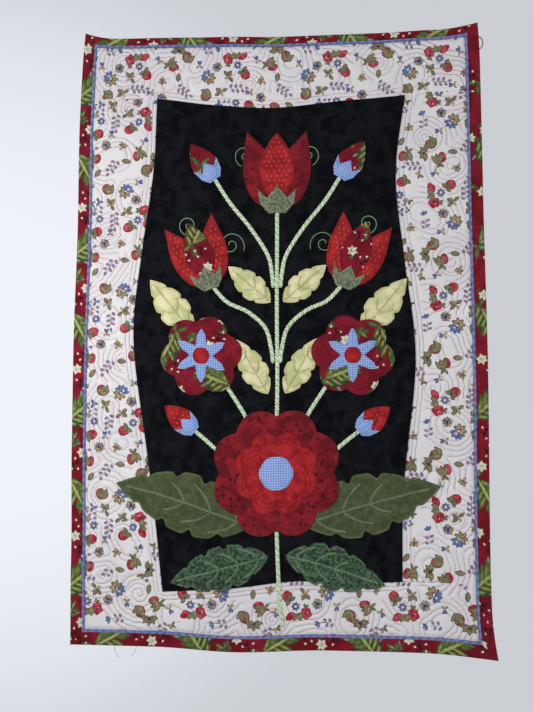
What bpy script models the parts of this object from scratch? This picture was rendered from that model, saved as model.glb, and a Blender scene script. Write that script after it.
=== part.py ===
"""A quilted wall hanging, 510 by 766 mm, hung flat against a wall from its top edge.

Every piece is first laid out flat, as the maker cut and sewed it, and hang() then gives it the
shape in which the quilt hangs. A flat point is (x, depth, z): x to the right seen from the
front, depth out from the wall, and z up from the top edge. In the finished part Y points into
the wall, and the origin is the middle of the top edge, on the wall.
"""

import math
from collections import namedtuple

import bpy
import numpy as np
from mathutils import Vector
from mathutils.geometry import delaunay_2d_cdt

# Driving dimensions, in metres
WIDTH = 0.510
HEIGHT = 0.766
GAP = 0.0003
CLOTH = 0.0010

# How far each side's binding reaches in over the front, and over the back
BIND_FRONT = {"top": 0.0120, "right": 0.0165, "bottom": 0.0175, "left": 0.0165}
BIND_BACK_SHARE = 0.85
BIND_ROUND = 0.0012
EDGE_INSET = CLOTH + 0.0005

# Depths of the layers, measured out from the back of the binding
BODY_BACK = CLOTH + GAP
BODY_EDGE_FRONT = 0.0044
VALLEY_FRONT = 0.0048
PUFF_RISE = 0.0014
UNDER_PANEL = 0.0056
PANEL_BACK = UNDER_PANEL + GAP
LAYER_1 = PANEL_BACK + CLOTH + GAP
CORD_RISE = 0.0012
CORD_HALF_WIDTH = 0.0030
LAYER_2 = LAYER_1 + CORD_RISE + GAP
LAYER_3 = LAYER_2 + CLOTH + GAP
LAYER_4 = LAYER_3 + CLOTH + GAP

# How the top edge is pinned: the band that stays flat on the wall, and how the rest eases off it
FLAT_TOP = 0.045
EASE_OFF = 0.30
Wave = namedtuple("Wave", "rise across down phase")
WAVES = [Wave(0.0034, 0.43, 1.10, 0.6), Wave(0.0012, 0.24, -0.62, 2.1)]
Flare = namedtuple("Flare", "x z rise reach")
FLARES = [Flare(-0.255, -0.766, 0.0040, 0.13), Flare(0.255, -0.766, 0.0050, 0.12)]

# How far each edge bows as it hangs: where along the edge, and how far out it moves there
Bow = namedtuple("Bow", "at shift")
TOP_BOW = [
    Bow(-0.255, 0.0048),
    Bow(-0.170, 0.0036),
    Bow(-0.070, 0.0022),
    Bow(0.0, 0.0),
    Bow(0.120, 0.0008),
    Bow(0.200, 0.0030),
    Bow(0.255, 0.0050),
]
BOTTOM_BOW = [
    Bow(-0.255, -0.0019),
    Bow(-0.150, -0.0018),
    Bow(-0.050, 0.0025),
    Bow(0.060, -0.0014),
    Bow(0.170, -0.0020),
    Bow(0.255, 0.0008),
]
LEFT_BOW = [
    Bow(-0.766, -0.0012),
    Bow(-0.660, 0.0002),
    Bow(-0.520, 0.0026),
    Bow(-0.400, 0.0030),
    Bow(-0.250, 0.0008),
    Bow(-0.130, 0.0018),
    Bow(0.0, -0.0010),
]
RIGHT_BOW = [
    Bow(-0.766, 0.0006),
    Bow(-0.650, -0.0003),
    Bow(-0.430, 0.0009),
    Bow(-0.200, -0.0008),
    Bow(0.0, -0.0018),
]

# Corners pulled out of line: where, by how much, and how far in the pull reaches
Pull = namedtuple("Pull", "x z right up reach")
PULLS = [
    Pull(-0.255, 0.0, 0.0026, 0.0078, 0.046),
    Pull(0.255, 0.0, -0.0020, 0.0058, 0.055),
    Pull(0.255, -0.766, 0.0062, -0.0034, 0.060),
]

# The black centre panel: its corners, and the knots along each side, clockwise
TOP_LEFT, TOP_RIGHT = (-0.151, -0.0800), (0.158, -0.0825)
BOTTOM_RIGHT, BOTTOM_LEFT = (0.148, -0.6805), (-0.140, -0.6995)
PANEL_SIDES = [
    [TOP_LEFT, (-0.075, -0.0905), (0.000, -0.0935), (0.080, -0.0875), TOP_RIGHT],
    [TOP_RIGHT, (0.148, -0.185), (0.157, -0.292), (0.169, -0.415), (0.154, -0.570), BOTTOM_RIGHT],
    [BOTTOM_RIGHT, (0.085, -0.6865), (0.015, -0.6838), (-0.070, -0.6925), BOTTOM_LEFT],
    [BOTTOM_LEFT, (-0.157, -0.550), (-0.178, -0.395), (-0.171, -0.280), (-0.157, -0.170), TOP_LEFT],
]
PANEL_STEP = 0.020
PANEL_CENTRE = (0.0, -0.388)

# The swirls quilted round the printed border
SWIRLS = 40
SWIRL_RING = {"half_width": 0.200, "top": -0.047, "bottom": -0.719}
SWIRL_STAGGER = 0.0125
SWIRL_RADIUS = 0.0115
SWIRL_VARY = 0.0035
FIRST_ECHO = 0.0030
ECHO_PITCH = 0.0130
PANEL_ECHO = 0.0040
FIELD_BLEND = 0.0050
FLAT_BY_BINDING = 0.0008
RAMP_BY_BINDING = 0.0062

# Mesh sizes
STATION = 0.025
CORNER_STATION = 0.009
CORNER_ZONE = 0.045
CLOTH_STEP = 0.030
BACK_STEP = 0.034
PUFF_STEP = 0.0095
CORD_STEP = 0.013
EDGE_CLEAR = 0.0040
CELL_OVERLAP = 0.0010

COLOURS = {
    "printed_cotton": (0.74, 0.71, 0.68),
    "red_print": (0.30, 0.018, 0.030),
    "black_cotton": (0.010, 0.010, 0.011),
    "crimson_batik": (0.26, 0.006, 0.014),
    "bright_red": (0.42, 0.012, 0.016),
    "leaf_green": (0.060, 0.085, 0.040),
    "deep_green": (0.040, 0.075, 0.040),
    "sage": (0.22, 0.25, 0.17),
    "pale_leaf": (0.66, 0.66, 0.38),
    "blue_check": (0.20, 0.34, 0.70),
    "stem_cord": (0.58, 0.72, 0.46),
    "tan_cord": (0.30, 0.24, 0.10),
}
CLOTH_ROUGHNESS = 0.9


def clear_scene():
    for old in list(bpy.data.objects):
        bpy.data.objects.remove(old)


def make_material(name):
    """A matt cotton of one colour."""
    material = bpy.data.materials.new(name)
    material.use_nodes = True
    shader = material.node_tree.nodes["Principled BSDF"]
    shader.inputs["Base Color"].default_value = (*COLOURS[name], 1.0)
    shader.inputs["Roughness"].default_value = CLOTH_ROUGHNESS
    shader.inputs["Metallic"].default_value = 0.0
    return material


def smooth(t):
    """0 below 0, 1 above 1 and an even rise between."""
    t = np.clip(t, 0.0, 1.0)
    return t * t * (3.0 - 2.0 * t)


# How the flat quilt hangs


def bowed(table, at):
    """The shift of a bowed edge, easing from each row of its table to the next."""
    shift = np.full_like(at, table[0].shift)
    for low, high in zip(table, table[1:]):
        shift += (high.shift - low.shift) * smooth((at - low.at) / (high.at - low.at))
    return shift


def lift(x, z):
    """How far the back stands off the wall: nothing along the pinned top, then shallow waves."""
    waves = np.zeros_like(x)
    for w in WAVES:
        turn = 2.0 * math.pi * (x / w.across + z / w.down) + w.phase
        waves += w.rise * (1.0 + np.sin(turn)) / 2.0
    for f in FLARES:
        waves += f.rise * np.exp(-((x - f.x) ** 2 + (z - f.z) ** 2) / f.reach**2)
    return waves * smooth((-z - FLAT_TOP) / EASE_OFF)


def hang(points):
    """Flat points (x, depth, z) as they hang, in the part's frame."""
    flat = np.asarray(points, float).reshape(-1, 3)
    x, depth, z = flat[:, 0], flat[:, 1], flat[:, 2]
    across = x / WIDTH + 0.5
    down = -z / HEIGHT
    right = bowed(RIGHT_BOW, z) * across - bowed(LEFT_BOW, z) * (1.0 - across)
    up = bowed(TOP_BOW, x) * (1.0 - down) - bowed(BOTTOM_BOW, x) * down
    for p in PULLS:
        pull = np.clip(1.0 - np.hypot(x - p.x, z - p.z) / p.reach, 0.0, 1.0) ** 2
        right = right + p.right * pull
        up = up + p.up * pull
    return np.stack([x + right, -(lift(x, z) + depth), z + up], axis=1)


# Flat outlines


def curve_through(knots, step):
    """Points about step apart on a smooth curve through the knots, without the last knot."""
    knots = [np.array(k, float) for k in knots]
    ends = [2 * knots[0] - knots[1], *knots, 2 * knots[-1] - knots[-2]]
    points = []
    for a, b, c, d in zip(ends, ends[1:], ends[2:], ends[3:]):
        count = max(1, round(np.linalg.norm(c - b) / step))
        for t in np.arange(count) / count:
            bend = (2 * a - 5 * b + 4 * c - d) * t * t + (3 * b - a - 3 * c + d) * t**3
            points.append(b + 0.5 * ((c - a) * t + bend))
    return points


def panel_outline():
    return [p for side in PANEL_SIDES for p in curve_through(side, PANEL_STEP)]


def place(points, base, angle, mirror):
    """Points in a motif's own axes, u across and v along it, set on the panel. The angle leans
    the motif to the right, and mirror is -1 for the left-hand copy of a pair."""
    lean = math.radians(angle)
    placed = []
    for u, v in points:
        x = base[0] + u * math.cos(lean) + v * math.sin(lean)
        z = base[1] - u * math.sin(lean) + v * math.cos(lean)
        placed.append((PANEL_CENTRE[0] + mirror * x, PANEL_CENTRE[1] + z))
    return placed


def rosette(radius, lobes, dip, steps):
    """A round flower head with scalloped lobes; dip is how far in the notches reach."""
    points = []
    for i in range(lobes * steps):
        turn = 2.0 * math.pi * i / (lobes * steps)
        r = radius * (1.0 - dip * (1.0 - abs(math.sin(lobes * turn / 2.0))))
        points.append((r * math.sin(turn), r * math.cos(turn)))
    return points


def star(radius, arms, inner):
    """A flower head with pointed petals, each drawn in towards its root."""
    points = []
    for i in range(arms * 4):
        turn = 2.0 * math.pi * i / (arms * 4)
        r = radius * (1.0, 0.80, inner, 0.80)[i % 4]
        spread = math.radians((0.0, -5.0, 0.0, 5.0)[i % 4])
        points.append((r * math.sin(turn + spread), r * math.cos(turn + spread)))
    return points


def petal(length, width, steps, fullness):
    """A pointed oval from (0, 0); fullness above 1 moves its widest part towards the root."""
    side = []
    for i in range(1, steps):
        t = i / steps
        side.append((width / 2.0 * math.sin(math.pi * t ** (1.0 / fullness)) ** 0.8, length * t))
    left = [(-u, v) for u, v in reversed(side)]
    return [(0.0, 0.0), *side, (0.0, length), *left]


def leaf(length, width, teeth, bend):
    """A leaf with lobed edges on a midrib that bends sideways by bend at its tip."""
    steps = teeth * 3
    right, left = [], []
    for i in range(1, steps):
        t = i / steps
        lobe = (0.80, 1.0, 1.0)[i % 3]
        half = width / 2.0 * math.sin(math.pi * t**0.85) ** 0.9 * lobe
        rib = bend * t * t
        right.append((rib + half, length * t))
        left.append((rib - half, length * t))
    return [(0.0, 0.0), *right, (bend, length), *reversed(left)]


def tulip_cup(height, width):
    """The two outer petals of a tulip, cut in one piece with a notch between their tips."""
    half = [(0.16, 0.00), (0.34, 0.10), (0.46, 0.30), (0.50, 0.55), (0.47, 0.80), (0.44, 1.00)]
    half += [(0.26, 0.84), (0.10, 0.70)]
    right = [(u * width, v * height) for u, v in half]
    left = [(-u, v) for u, v in reversed(right)]
    return [*right, (0.0, 0.66 * height), *left]


def calyx(height, width):
    """The green cup under a tulip or a bud, with three points."""
    half = [(0.22, 0.00), (0.42, 0.34), (0.50, 0.92), (0.26, 0.58)]
    right = [(u * width, v * height) for u, v in half]
    left = [(-u, v) for u, v in reversed(right)]
    return [*right, (0.0, height), *left]


# Meshes


def triangulated(outline, inner, folds=()):
    """Flat triangles that fill an outline and use the inner points. No triangle crosses a fold,
    which is a closed ring of points. Returns points and faces."""
    points, edges = [], []
    for ring in (outline, *folds):
        start, count = len(points), len(ring)
        points += [Vector(p) for p in ring]
        edges += [(start + i, start + (i + 1) % count) for i in range(count)]
    points += [Vector(p) for p in inner]
    verts, _, faces, *_ = delaunay_2d_cdt(points, edges, [], 1, 1e-6)
    verts = [(v.x, v.y) for v in verts]
    turned = []
    for a, b, c in faces:
        (ax, az), (bx, bz), (cx, cz) = verts[a], verts[b], verts[c]
        area = (bx - ax) * (cz - az) - (cx - ax) * (bz - az)
        turned.append((a, b, c) if area > 0 else (a, c, b))
    return verts, turned


def rim(faces):
    """The edges that only one face uses, in that face's direction."""
    used = {(f[i], f[(i + 1) % 3]) for f in faces for i in range(3)}
    return [(a, b) for a, b in used if (b, a) not in used]


def grid_inside(outline, step, margin):
    """Staggered points inside an outline, no nearer to it than margin."""
    xs = [p[0] for p in outline]
    zs = [p[1] for p in outline]
    found = []
    rows = np.arange(min(zs) + step / 2.0, max(zs), step)
    for row, z in enumerate(rows):
        for x in np.arange(min(xs) + step / 2.0 * (row % 2), max(xs), step):
            found.append((x, z))
    spots = np.array(found).reshape(-1, 2)
    if len(spots) == 0:
        return []
    keep = signed_distance(outline, spots[:, 0], spots[:, 1]) < -margin
    return [tuple(p) for p in spots[keep]]


def signed_distance(outline, x, z):
    """Distance from each point to a closed outline, below 0 inside it."""
    ring = np.array(outline, float)
    nearest = np.full_like(x, np.inf)
    inside = np.zeros(x.shape, bool)
    for a, b in zip(ring, np.roll(ring, -1, axis=0)):
        edge = b - a
        t = np.clip(((x - a[0]) * edge[0] + (z - a[1]) * edge[1]) / (edge @ edge), 0.0, 1.0)
        nearest = np.minimum(nearest, np.hypot(x - a[0] - t * edge[0], z - a[1] - t * edge[1]))
        if a[1] != b[1]:
            crosses = (a[1] > z) != (b[1] > z)
            inside ^= crosses & (x < (b[0] - a[0]) * (z - a[1]) / (b[1] - a[1]) + a[0])
    return np.where(inside, -nearest, nearest)


def add_object(name, flat_points, faces, material):
    """A solid from flat points, hung and added to the scene under the quilt's empty."""
    mesh = bpy.data.meshes.new(name)
    mesh.from_pydata([tuple(p) for p in hang(flat_points)], [], faces)
    mesh.validate()
    mesh.shade_smooth()
    mesh.set_sharp_from_angle(angle=math.radians(40.0))
    mesh.materials.append(MATERIALS[material])
    made = bpy.data.objects.new(name, mesh)
    made.parent = QUILT
    bpy.context.scene.collection.objects.link(made)
    return made


def add_cloth(name, outline, back, material):
    """A single thickness of cloth cut to an outline, its back at one depth."""
    inner = grid_inside(outline, CLOTH_STEP, CLOTH_STEP * 0.3)
    verts, faces = triangulated(outline, inner)
    count = len(verts)
    points = [(x, back + CLOTH, z) for x, z in verts] + [(x, back, z) for x, z in verts]
    solid = list(faces)
    solid += [(a + count, c + count, b + count) for a, b, c in faces]
    solid += [(b, a, a + count, b + count) for a, b in rim(faces)]
    return add_object(name, points, solid, material)


def loft(name, rings, material):
    """A solid through closed rings of flat points, with both ends filled. Each ring runs
    clockwise when seen from the next one."""
    sides = len(rings[0])
    points = [p for ring in rings for p in ring]
    faces = []
    for i in range(len(rings) - 1):
        for j in range(sides):
            k = (j + 1) % sides
            faces.append((i * sides + j, i * sides + k, (i + 1) * sides + k, (i + 1) * sides + j))
    last = (len(rings) - 1) * sides
    faces.append(tuple(reversed(range(sides))))
    faces.append(tuple(range(last, last + sides)))
    return add_object(name, points, faces, material)


# The quilted body: printed border, wadding and backing as one padded sheet


def swirl_centres():
    """Where the quilted swirls lie, staggered either side of the middle of the border."""
    ring = SWIRL_RING
    corners = [
        (-ring["half_width"], ring["top"]),
        (ring["half_width"], ring["top"]),
        (ring["half_width"], ring["bottom"]),
        (-ring["half_width"], ring["bottom"]),
    ]
    sides = list(zip(corners, corners[1:] + corners[:1]))
    lengths = [math.dist(a, b) for a, b in sides]
    centres = []
    for i in range(SWIRLS):
        at = (i + 0.16 * math.sin(2.3 * i)) / SWIRLS * sum(lengths)
        at %= sum(lengths)
        side = 0
        while at > lengths[side]:
            at -= lengths[side]
            side += 1
        (ax, az), (bx, bz) = sides[side]
        t = at / lengths[side]
        nx, nz = (bz - az) / lengths[side], (ax - bx) / lengths[side]
        off = SWIRL_STAGGER * (1 if i % 2 else -1) + SWIRL_VARY * math.sin(2.4 * i)
        radius = SWIRL_RADIUS + SWIRL_VARY * math.sin(1.7 * i + 0.5)
        centres.append((ax + (bx - ax) * t + nx * off, az + (bz - az) * t + nz * off, radius))
    return centres


def quilting_field(x, z, centres, outline):
    """A blend of the distances to the swirls and to the panel's edge. The quilting lines run
    where this field passes set values, so each line echoes the shapes inside it."""
    total = np.exp(-(signed_distance(outline, x, z) - PANEL_ECHO) / FIELD_BLEND)
    for cx, cz, radius in centres:
        total = total + np.exp(-(np.hypot(x - cx, z - cz) - radius) / FIELD_BLEND)
    return -FIELD_BLEND * np.log(total)


def body_front(x, z, centres, outline):
    """Depth of the body's front: thin under the binding, puffed between the quilting lines."""
    field = quilting_field(x, z, centres, outline)
    phase = (field - FIRST_ECHO) / ECHO_PITCH
    puff = np.abs(np.sin(math.pi * np.clip(phase, -0.5, None))) ** 0.7
    face = VALLEY_FRONT + PUFF_RISE * puff
    inside = signed_distance(outline, x, z)
    face = np.where(inside < PANEL_ECHO, np.minimum(face, UNDER_PANEL), face)
    face = np.where(inside < -PANEL_ECHO, UNDER_PANEL, face)
    rim_left = x + WIDTH / 2.0 - BIND_FRONT["left"]
    rim_right = WIDTH / 2.0 - x - BIND_FRONT["right"]
    rim_top = -z - BIND_FRONT["top"]
    rim_bottom = HEIGHT + z - BIND_FRONT["bottom"]
    in_from_binding = np.minimum(np.minimum(rim_left, rim_right), np.minimum(rim_top, rim_bottom))
    share = smooth((in_from_binding - FLAT_BY_BINDING) / RAMP_BY_BINDING)
    return BODY_EDGE_FRONT + (face - BODY_EDGE_FRONT) * share


def stations(length):
    """Distances along an edge, closer together near its corners where the cloth is pulled."""
    corner = np.arange(0.0, CORNER_ZONE, CORNER_STATION)
    count = round((length - 2.0 * CORNER_ZONE) / STATION)
    middle = np.linspace(CORNER_ZONE, length - CORNER_ZONE, count + 1)
    return [*corner, *middle, *(length - corner[::-1])]


def body_ring(inset):
    """A ring at a distance in from each side, at the binding's own stations along the edge."""
    left, right = -WIDTH / 2.0 + inset["left"], WIDTH / 2.0 - inset["right"]
    top, bottom = -inset["top"], -HEIGHT + inset["bottom"]
    along_x = [left + (right - left) * s / WIDTH for s in stations(WIDTH)]
    along_z = [top + (bottom - top) * s / HEIGHT for s in stations(HEIGHT)]
    points = [(x, top) for x in along_x[:-1]] + [(right, z) for z in along_z[:-1]]
    points += [(x, bottom) for x in along_x[:0:-1]] + [(left, z) for z in along_z[:0:-1]]
    return points


def puff_points(centres, outline, edge):
    """Points on the crowns, ridges and quilted lines round each swirl, in its own cell."""
    found = []
    for cx, cz, radius in centres:
        found.append((cx, cz))
        for level in (0.0, 0.5, 1.0, 1.5):
            r = radius + FIRST_ECHO + level * ECHO_PITCH
            count = round(2.0 * math.pi * r / PUFF_STEP)
            for i in range(count):
                turn = 2.0 * math.pi * (i + level) / count
                x, z = cx + r * math.cos(turn), cz + r * math.sin(turn)
                others = min(math.hypot(x - ox, z - oz) - o for ox, oz, o in centres)
                if others > r - radius - CELL_OVERLAP:
                    found.append((x, z))
    spots = np.array(found)
    clear = signed_distance(outline, spots[:, 0], spots[:, 1]) > PANEL_ECHO
    clear &= signed_distance(edge, spots[:, 0], spots[:, 1]) < -EDGE_CLEAR
    return spots[clear]


def thinned(points, spacing):
    """The points in order, without those nearer than spacing to one already kept."""
    kept = []
    for p in points:
        if all(math.dist(p, q) >= spacing for q in kept):
            kept.append(tuple(p))
    return kept


def add_body(centres):
    outline = panel_outline()
    edge = body_ring({side: EDGE_INSET for side in BIND_FRONT})
    by_binding = {side: width + FLAT_BY_BINDING for side, width in BIND_FRONT.items()}
    folds = [outline, body_ring(by_binding)]
    inner = list(puff_points(centres, outline, folds[1]))
    inner += grid_inside(outline, CLOTH_STEP, PANEL_ECHO)
    inner = thinned(inner, PUFF_STEP * 0.62)
    front, faces = triangulated(edge, inner, folds)
    back, back_faces = triangulated(edge, grid_inside(edge, BACK_STEP, BACK_STEP * 0.3))
    x = np.array([v[0] for v in front])
    z = np.array([v[1] for v in front])
    depth = body_front(x, z, centres, outline)
    points = [(x[i], depth[i], z[i]) for i in range(len(front))]
    points += [(v[0], BODY_BACK, v[1]) for v in back]
    key = {(round(v[0], 6), round(v[1], 6)): i + len(front) for i, v in enumerate(back)}
    solid = list(faces)
    solid += [tuple(i + len(front) for i in reversed(f)) for f in back_faces]
    for a, b in rim(faces):
        under = [key[(round(front[i][0], 6), round(front[i][1], 6))] for i in (a, b)]
        solid.append((b, a, under[0], under[1]))
    return add_object("quilt_body", points, solid, "printed_cotton")


# The binding: a folded strip round each edge, mitred at the corners


def binding_section(width):
    """The folded strip in section, as (in from the edge, depth), from its front leg's inside."""
    front_out, front_in = BODY_EDGE_FRONT + GAP + CLOTH, BODY_EDGE_FRONT + GAP
    back_width = width * BIND_BACK_SHARE
    return [
        (width, front_in),
        (width / 2.0, front_in),
        (CLOTH, front_in),
        (CLOTH, CLOTH),
        (back_width, CLOTH),
        (back_width, 0.0),
        (BIND_ROUND, 0.0),
        (0.0, BIND_ROUND),
        (0.0, front_out - BIND_ROUND),
        (BIND_ROUND, front_out - 0.0002),
        (width / 2.0, front_out + 0.0002),
        (width, front_out - 0.0001),
    ]


def add_binding(side):
    """One side's strip. Its ends are cut along the line where it meets its neighbours."""
    order = ["top", "right", "bottom", "left"]
    at = order.index(side)
    width = BIND_FRONT[side]
    before = BIND_FRONT[order[at - 1]] / width
    after = BIND_FRONT[order[(at + 1) % 4]] / width
    length = WIDTH if side in ("top", "bottom") else HEIGHT
    frames = {
        "top": ((-WIDTH / 2.0, 0.0), (1.0, 0.0), (0.0, -1.0)),
        "right": ((WIDTH / 2.0, 0.0), (0.0, -1.0), (-1.0, 0.0)),
        "bottom": ((WIDTH / 2.0, -HEIGHT), (-1.0, 0.0), (0.0, 1.0)),
        "left": ((-WIDTH / 2.0, -HEIGHT), (0.0, 1.0), (1.0, 0.0)),
    }
    corner, along, inward = frames[side]
    rings = []
    for s in stations(length):
        ring = []
        for w, depth in binding_section(width):
            start, end = w * before + GAP, length - w * after - GAP
            run = start + (end - start) * s / length
            x = corner[0] + along[0] * run + inward[0] * w
            z = corner[1] + along[1] * run + inward[1] * w
            ring.append((x, depth, z))
        rings.append(ring)
    return loft(f"binding_{side}", rings, "red_print")


# The stems: twisted cord couched down on the panel, from (u, v) knots about its centre

MAIN_STEM = [
    (0.006, -0.349),
    (0.002, -0.290),
    (-0.001, -0.180),
    (0.001, -0.060),
    (0.0, 0.060),
    (0.0, 0.168),
]
BRANCHES = {
    "flower_stem": [(0.034, -0.102), (0.046, -0.082), (0.062, -0.058)],
    "tulip_stem": [(0.0074, -0.012), (0.014, 0.014), (0.036, 0.034), (0.062, 0.046), (0.083, 0.068)],
    "high_bud_stem": [(0.0074, 0.084), (0.012, 0.106), (0.034, 0.140), (0.060, 0.172), (0.0834, 0.2089)],
    "low_bud_stem": [(0.072, -0.138), (0.088, -0.1245), (0.1077, -0.1093)],
}


def add_stem(name, knots, mirror):
    """A flattened cord along a smooth curve through the knots."""
    ends = [(PANEL_CENTRE[0] + mirror * u, PANEL_CENTRE[1] + v) for u, v in knots]
    line = [*curve_through(ends, CORD_STEP), np.array(ends[-1])]
    section = [(-1.0, 0.0), (-0.75, 0.75), (0.0, 1.0), (0.75, 0.75), (1.0, 0.0)]
    rings = []
    for i, p in enumerate(line):
        run = line[min(i + 1, len(line) - 1)] - line[max(i - 1, 0)]
        run = run / np.linalg.norm(run)
        side = (run[1], -run[0])
        ring = []
        for across, rise in section:
            off = across * CORD_HALF_WIDTH
            ring.append((p[0] + side[0] * off, LAYER_1 + rise * CORD_RISE, p[1] + side[1] * off))
        rings.append(ring)
    return loft(name, rings, "stem_cord")


def add_stems():
    add_stem("main_stem", MAIN_STEM, 1)
    for name, knots in BRANCHES.items():
        add_stem(f"{name}_right", knots, 1)
        add_stem(f"{name}_left", knots, -1)


# The appliqué: a plain symmetrical tree of folk flowers. A motif's root is u to the right of the
# panel's centre and v up from it, and one that is off the middle has a mirror image on the left.

Motif = namedtuple("Motif", "name outline u v lean back cloth")
MOTIFS = [
    Motif("base_leaf", leaf(0.172, 0.076, 5, 0.010), 0.032, -0.228, 71.0, LAYER_1, "leaf_green"),
    Motif("lower_leaf", leaf(0.126, 0.054, 5, 0.006), 0.010, -0.264, 104.0, LAYER_1, "deep_green"),
    Motif("middle_leaf", leaf(0.078, 0.034, 4, 0.0), 0.0105, -0.068, 30.0, LAYER_1, "pale_leaf"),
    Motif("upper_leaf", leaf(0.070, 0.033, 4, 0.0), 0.0078, 0.046, 50.0, LAYER_1, "pale_leaf"),
    Motif("outer_leaf", leaf(0.086, 0.040, 4, 0.0), 0.104, 0.006, 40.0, LAYER_1, "pale_leaf"),
    Motif("rosette_outer", rosette(0.080, 8, 0.13, 6), 0.0, -0.165, 0.0, LAYER_2, "crimson_batik"),
    Motif("rosette_inner", rosette(0.052, 8, 0.16, 4), 0.0, -0.165, 0.0, LAYER_3, "bright_red"),
    Motif("rosette_centre", rosette(0.021, 6, 0.05, 3), 0.0, -0.165, 0.0, LAYER_4, "blue_check"),
    Motif("side_flower", rosette(0.051, 6, 0.17, 6), 0.093, -0.022, 10.0, LAYER_2, "red_print"),
    Motif("side_flower_star", star(0.034, 6, 0.42), 0.093, -0.022, 0.0, LAYER_3, "blue_check"),
    Motif("side_flower_eye", rosette(0.0105, 6, 0.04, 2), 0.093, -0.022, 0.0, LAYER_4, "bright_red"),
    Motif("top_tulip_cup", tulip_cup(0.098, 0.086), 0.0, 0.165, 0.0, LAYER_2, "crimson_batik"),
    Motif("top_tulip_petal", petal(0.088, 0.044, 8, 1.15), 0.0, 0.173, 0.0, LAYER_3, "bright_red"),
    Motif("top_tulip_calyx", calyx(0.034, 0.050), 0.0, 0.158, 0.0, LAYER_4, "sage"),
    Motif("side_tulip_cup", tulip_cup(0.084, 0.072), 0.084, 0.068, 20.0, LAYER_2, "bright_red"),
    Motif("side_tulip_petal", petal(0.074, 0.036, 7, 1.15), 0.0862, 0.0746, 20.0, LAYER_3, "red_print"),
    Motif("side_tulip_calyx", calyx(0.029, 0.042), 0.0816, 0.0614, 20.0, LAYER_4, "sage"),
    Motif("high_bud", petal(0.052, 0.034, 7, 1.5), 0.080, 0.204, 35.0, LAYER_2, "red_print"),
    Motif("high_bud_calyx", calyx(0.026, 0.035), 0.0778, 0.2008, 35.0, LAYER_3, "blue_check"),
    Motif("low_bud", petal(0.044, 0.030, 7, 1.5), 0.103, -0.113, 52.0, LAYER_2, "bright_red"),
    Motif("low_bud_calyx", calyx(0.023, 0.031), 0.0995, -0.1157, 52.0, LAYER_3, "blue_check"),
]


def add_motif(motif):
    """A motif set on the panel and, off the middle, its mirror image too."""
    base = (motif.u, motif.v)
    if motif.u == 0.0:
        add_cloth(motif.name, place(motif.outline, base, motif.lean, 1), motif.back, motif.cloth)
        return
    for side, mirror in (("right", 1), ("left", -1)):
        outline = place(motif.outline, base, motif.lean, mirror)
        add_cloth(f"{motif.name}_{side}", outline, motif.back, motif.cloth)


# The loop of tan cord that shows past the right edge


def add_side_loop():
    """A half ring of cord, both its ends against the outer edge of the right binding."""
    centre = (WIDTH / 2.0 + GAP, -0.0215)
    reach, half_height, thick, depth_at, sides, steps = 0.0050, 0.0070, 0.0011, 0.0022, 6, 10
    rings = []
    for i in range(steps + 1):
        turn = math.pi * (i / steps - 0.5)
        out = (math.cos(turn), math.sin(turn))
        middle = (centre[0] + reach * out[0], centre[1] + half_height * out[1])
        ring = []
        for j in range(sides):
            spin = -2.0 * math.pi * j / sides
            grow = thick * math.cos(spin)
            depth = depth_at + thick * math.sin(spin)
            ring.append((middle[0] + out[0] * grow, depth, middle[1] + out[1] * grow))
        rings.append(ring)
    return loft("side_loop", rings, "tan_cord")


clear_scene()
MATERIALS = {name: make_material(name) for name in COLOURS}
QUILT = bpy.data.objects.new("quilt", None)
bpy.context.scene.collection.objects.link(QUILT)
add_body(swirl_centres())
for bound_side in BIND_FRONT:
    add_binding(bound_side)
add_cloth("centre_panel", panel_outline(), PANEL_BACK, "black_cotton")
add_stems()
for each_motif in MOTIFS:
    add_motif(each_motif)
add_side_loop()
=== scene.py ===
"""The looks of a quilted wall hanging, dressed on its solids.

Every piece is made flat, as the maker cut and sewed it, in flat points (x, depth, z): x to the
right seen from the front, depth out from the wall and z up from the top edge. hang() then gives
it the shape in which the quilt hangs, with the same bows and waves as the solids.
"""
import math
from collections import namedtuple
from functools import partial

import bpy
import numpy as np
from mathutils import Matrix, Vector
from mathutils.geometry import delaunay_2d_cdt


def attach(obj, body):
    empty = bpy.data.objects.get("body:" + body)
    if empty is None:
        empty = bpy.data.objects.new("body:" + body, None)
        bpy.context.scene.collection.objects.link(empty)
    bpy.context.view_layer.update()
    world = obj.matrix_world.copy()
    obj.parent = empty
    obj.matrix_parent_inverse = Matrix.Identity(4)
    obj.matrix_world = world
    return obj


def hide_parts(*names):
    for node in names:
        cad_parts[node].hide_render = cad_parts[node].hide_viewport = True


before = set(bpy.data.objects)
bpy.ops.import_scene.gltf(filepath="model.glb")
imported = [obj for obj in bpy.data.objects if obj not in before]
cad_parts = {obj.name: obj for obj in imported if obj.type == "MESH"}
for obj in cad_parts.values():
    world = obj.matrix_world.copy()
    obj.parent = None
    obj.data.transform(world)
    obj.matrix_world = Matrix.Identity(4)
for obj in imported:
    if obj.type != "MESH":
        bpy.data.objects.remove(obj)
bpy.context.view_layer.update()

# Sizes shared with the solids, in metres
WIDTH = 0.510
HEIGHT = 0.766
CLOTH = 0.0010
BIND_FRONT = {"top": 0.0120, "right": 0.0165, "bottom": 0.0175, "left": 0.0165}
BIND_BACK_SHARE = 0.85
BIND_ROUND = 0.0012
BODY_BACK = 0.0013
BODY_EDGE_FRONT = 0.0044
UNDER_PANEL = 0.0056
PANEL_BACK = 0.0058
PANEL_TOP = 0.0069
CORD_HALF_WIDTH = 0.0030
FLAT_BY_BINDING = 0.0008
RAMP_BY_BINDING = 0.0062
FLAT_TOP = 0.045
EASE_OFF = 0.30

# Waves as (rise, length across, length down, phase), and flared corners as (x, z, rise, reach)
WAVES = [(0.0034, 0.43, 1.10, 0.6), (0.0012, 0.24, -0.62, 2.1)]
FLARES = [(-0.255, -0.766, 0.0040, 0.13), (0.255, -0.766, 0.0050, 0.12)]

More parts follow.
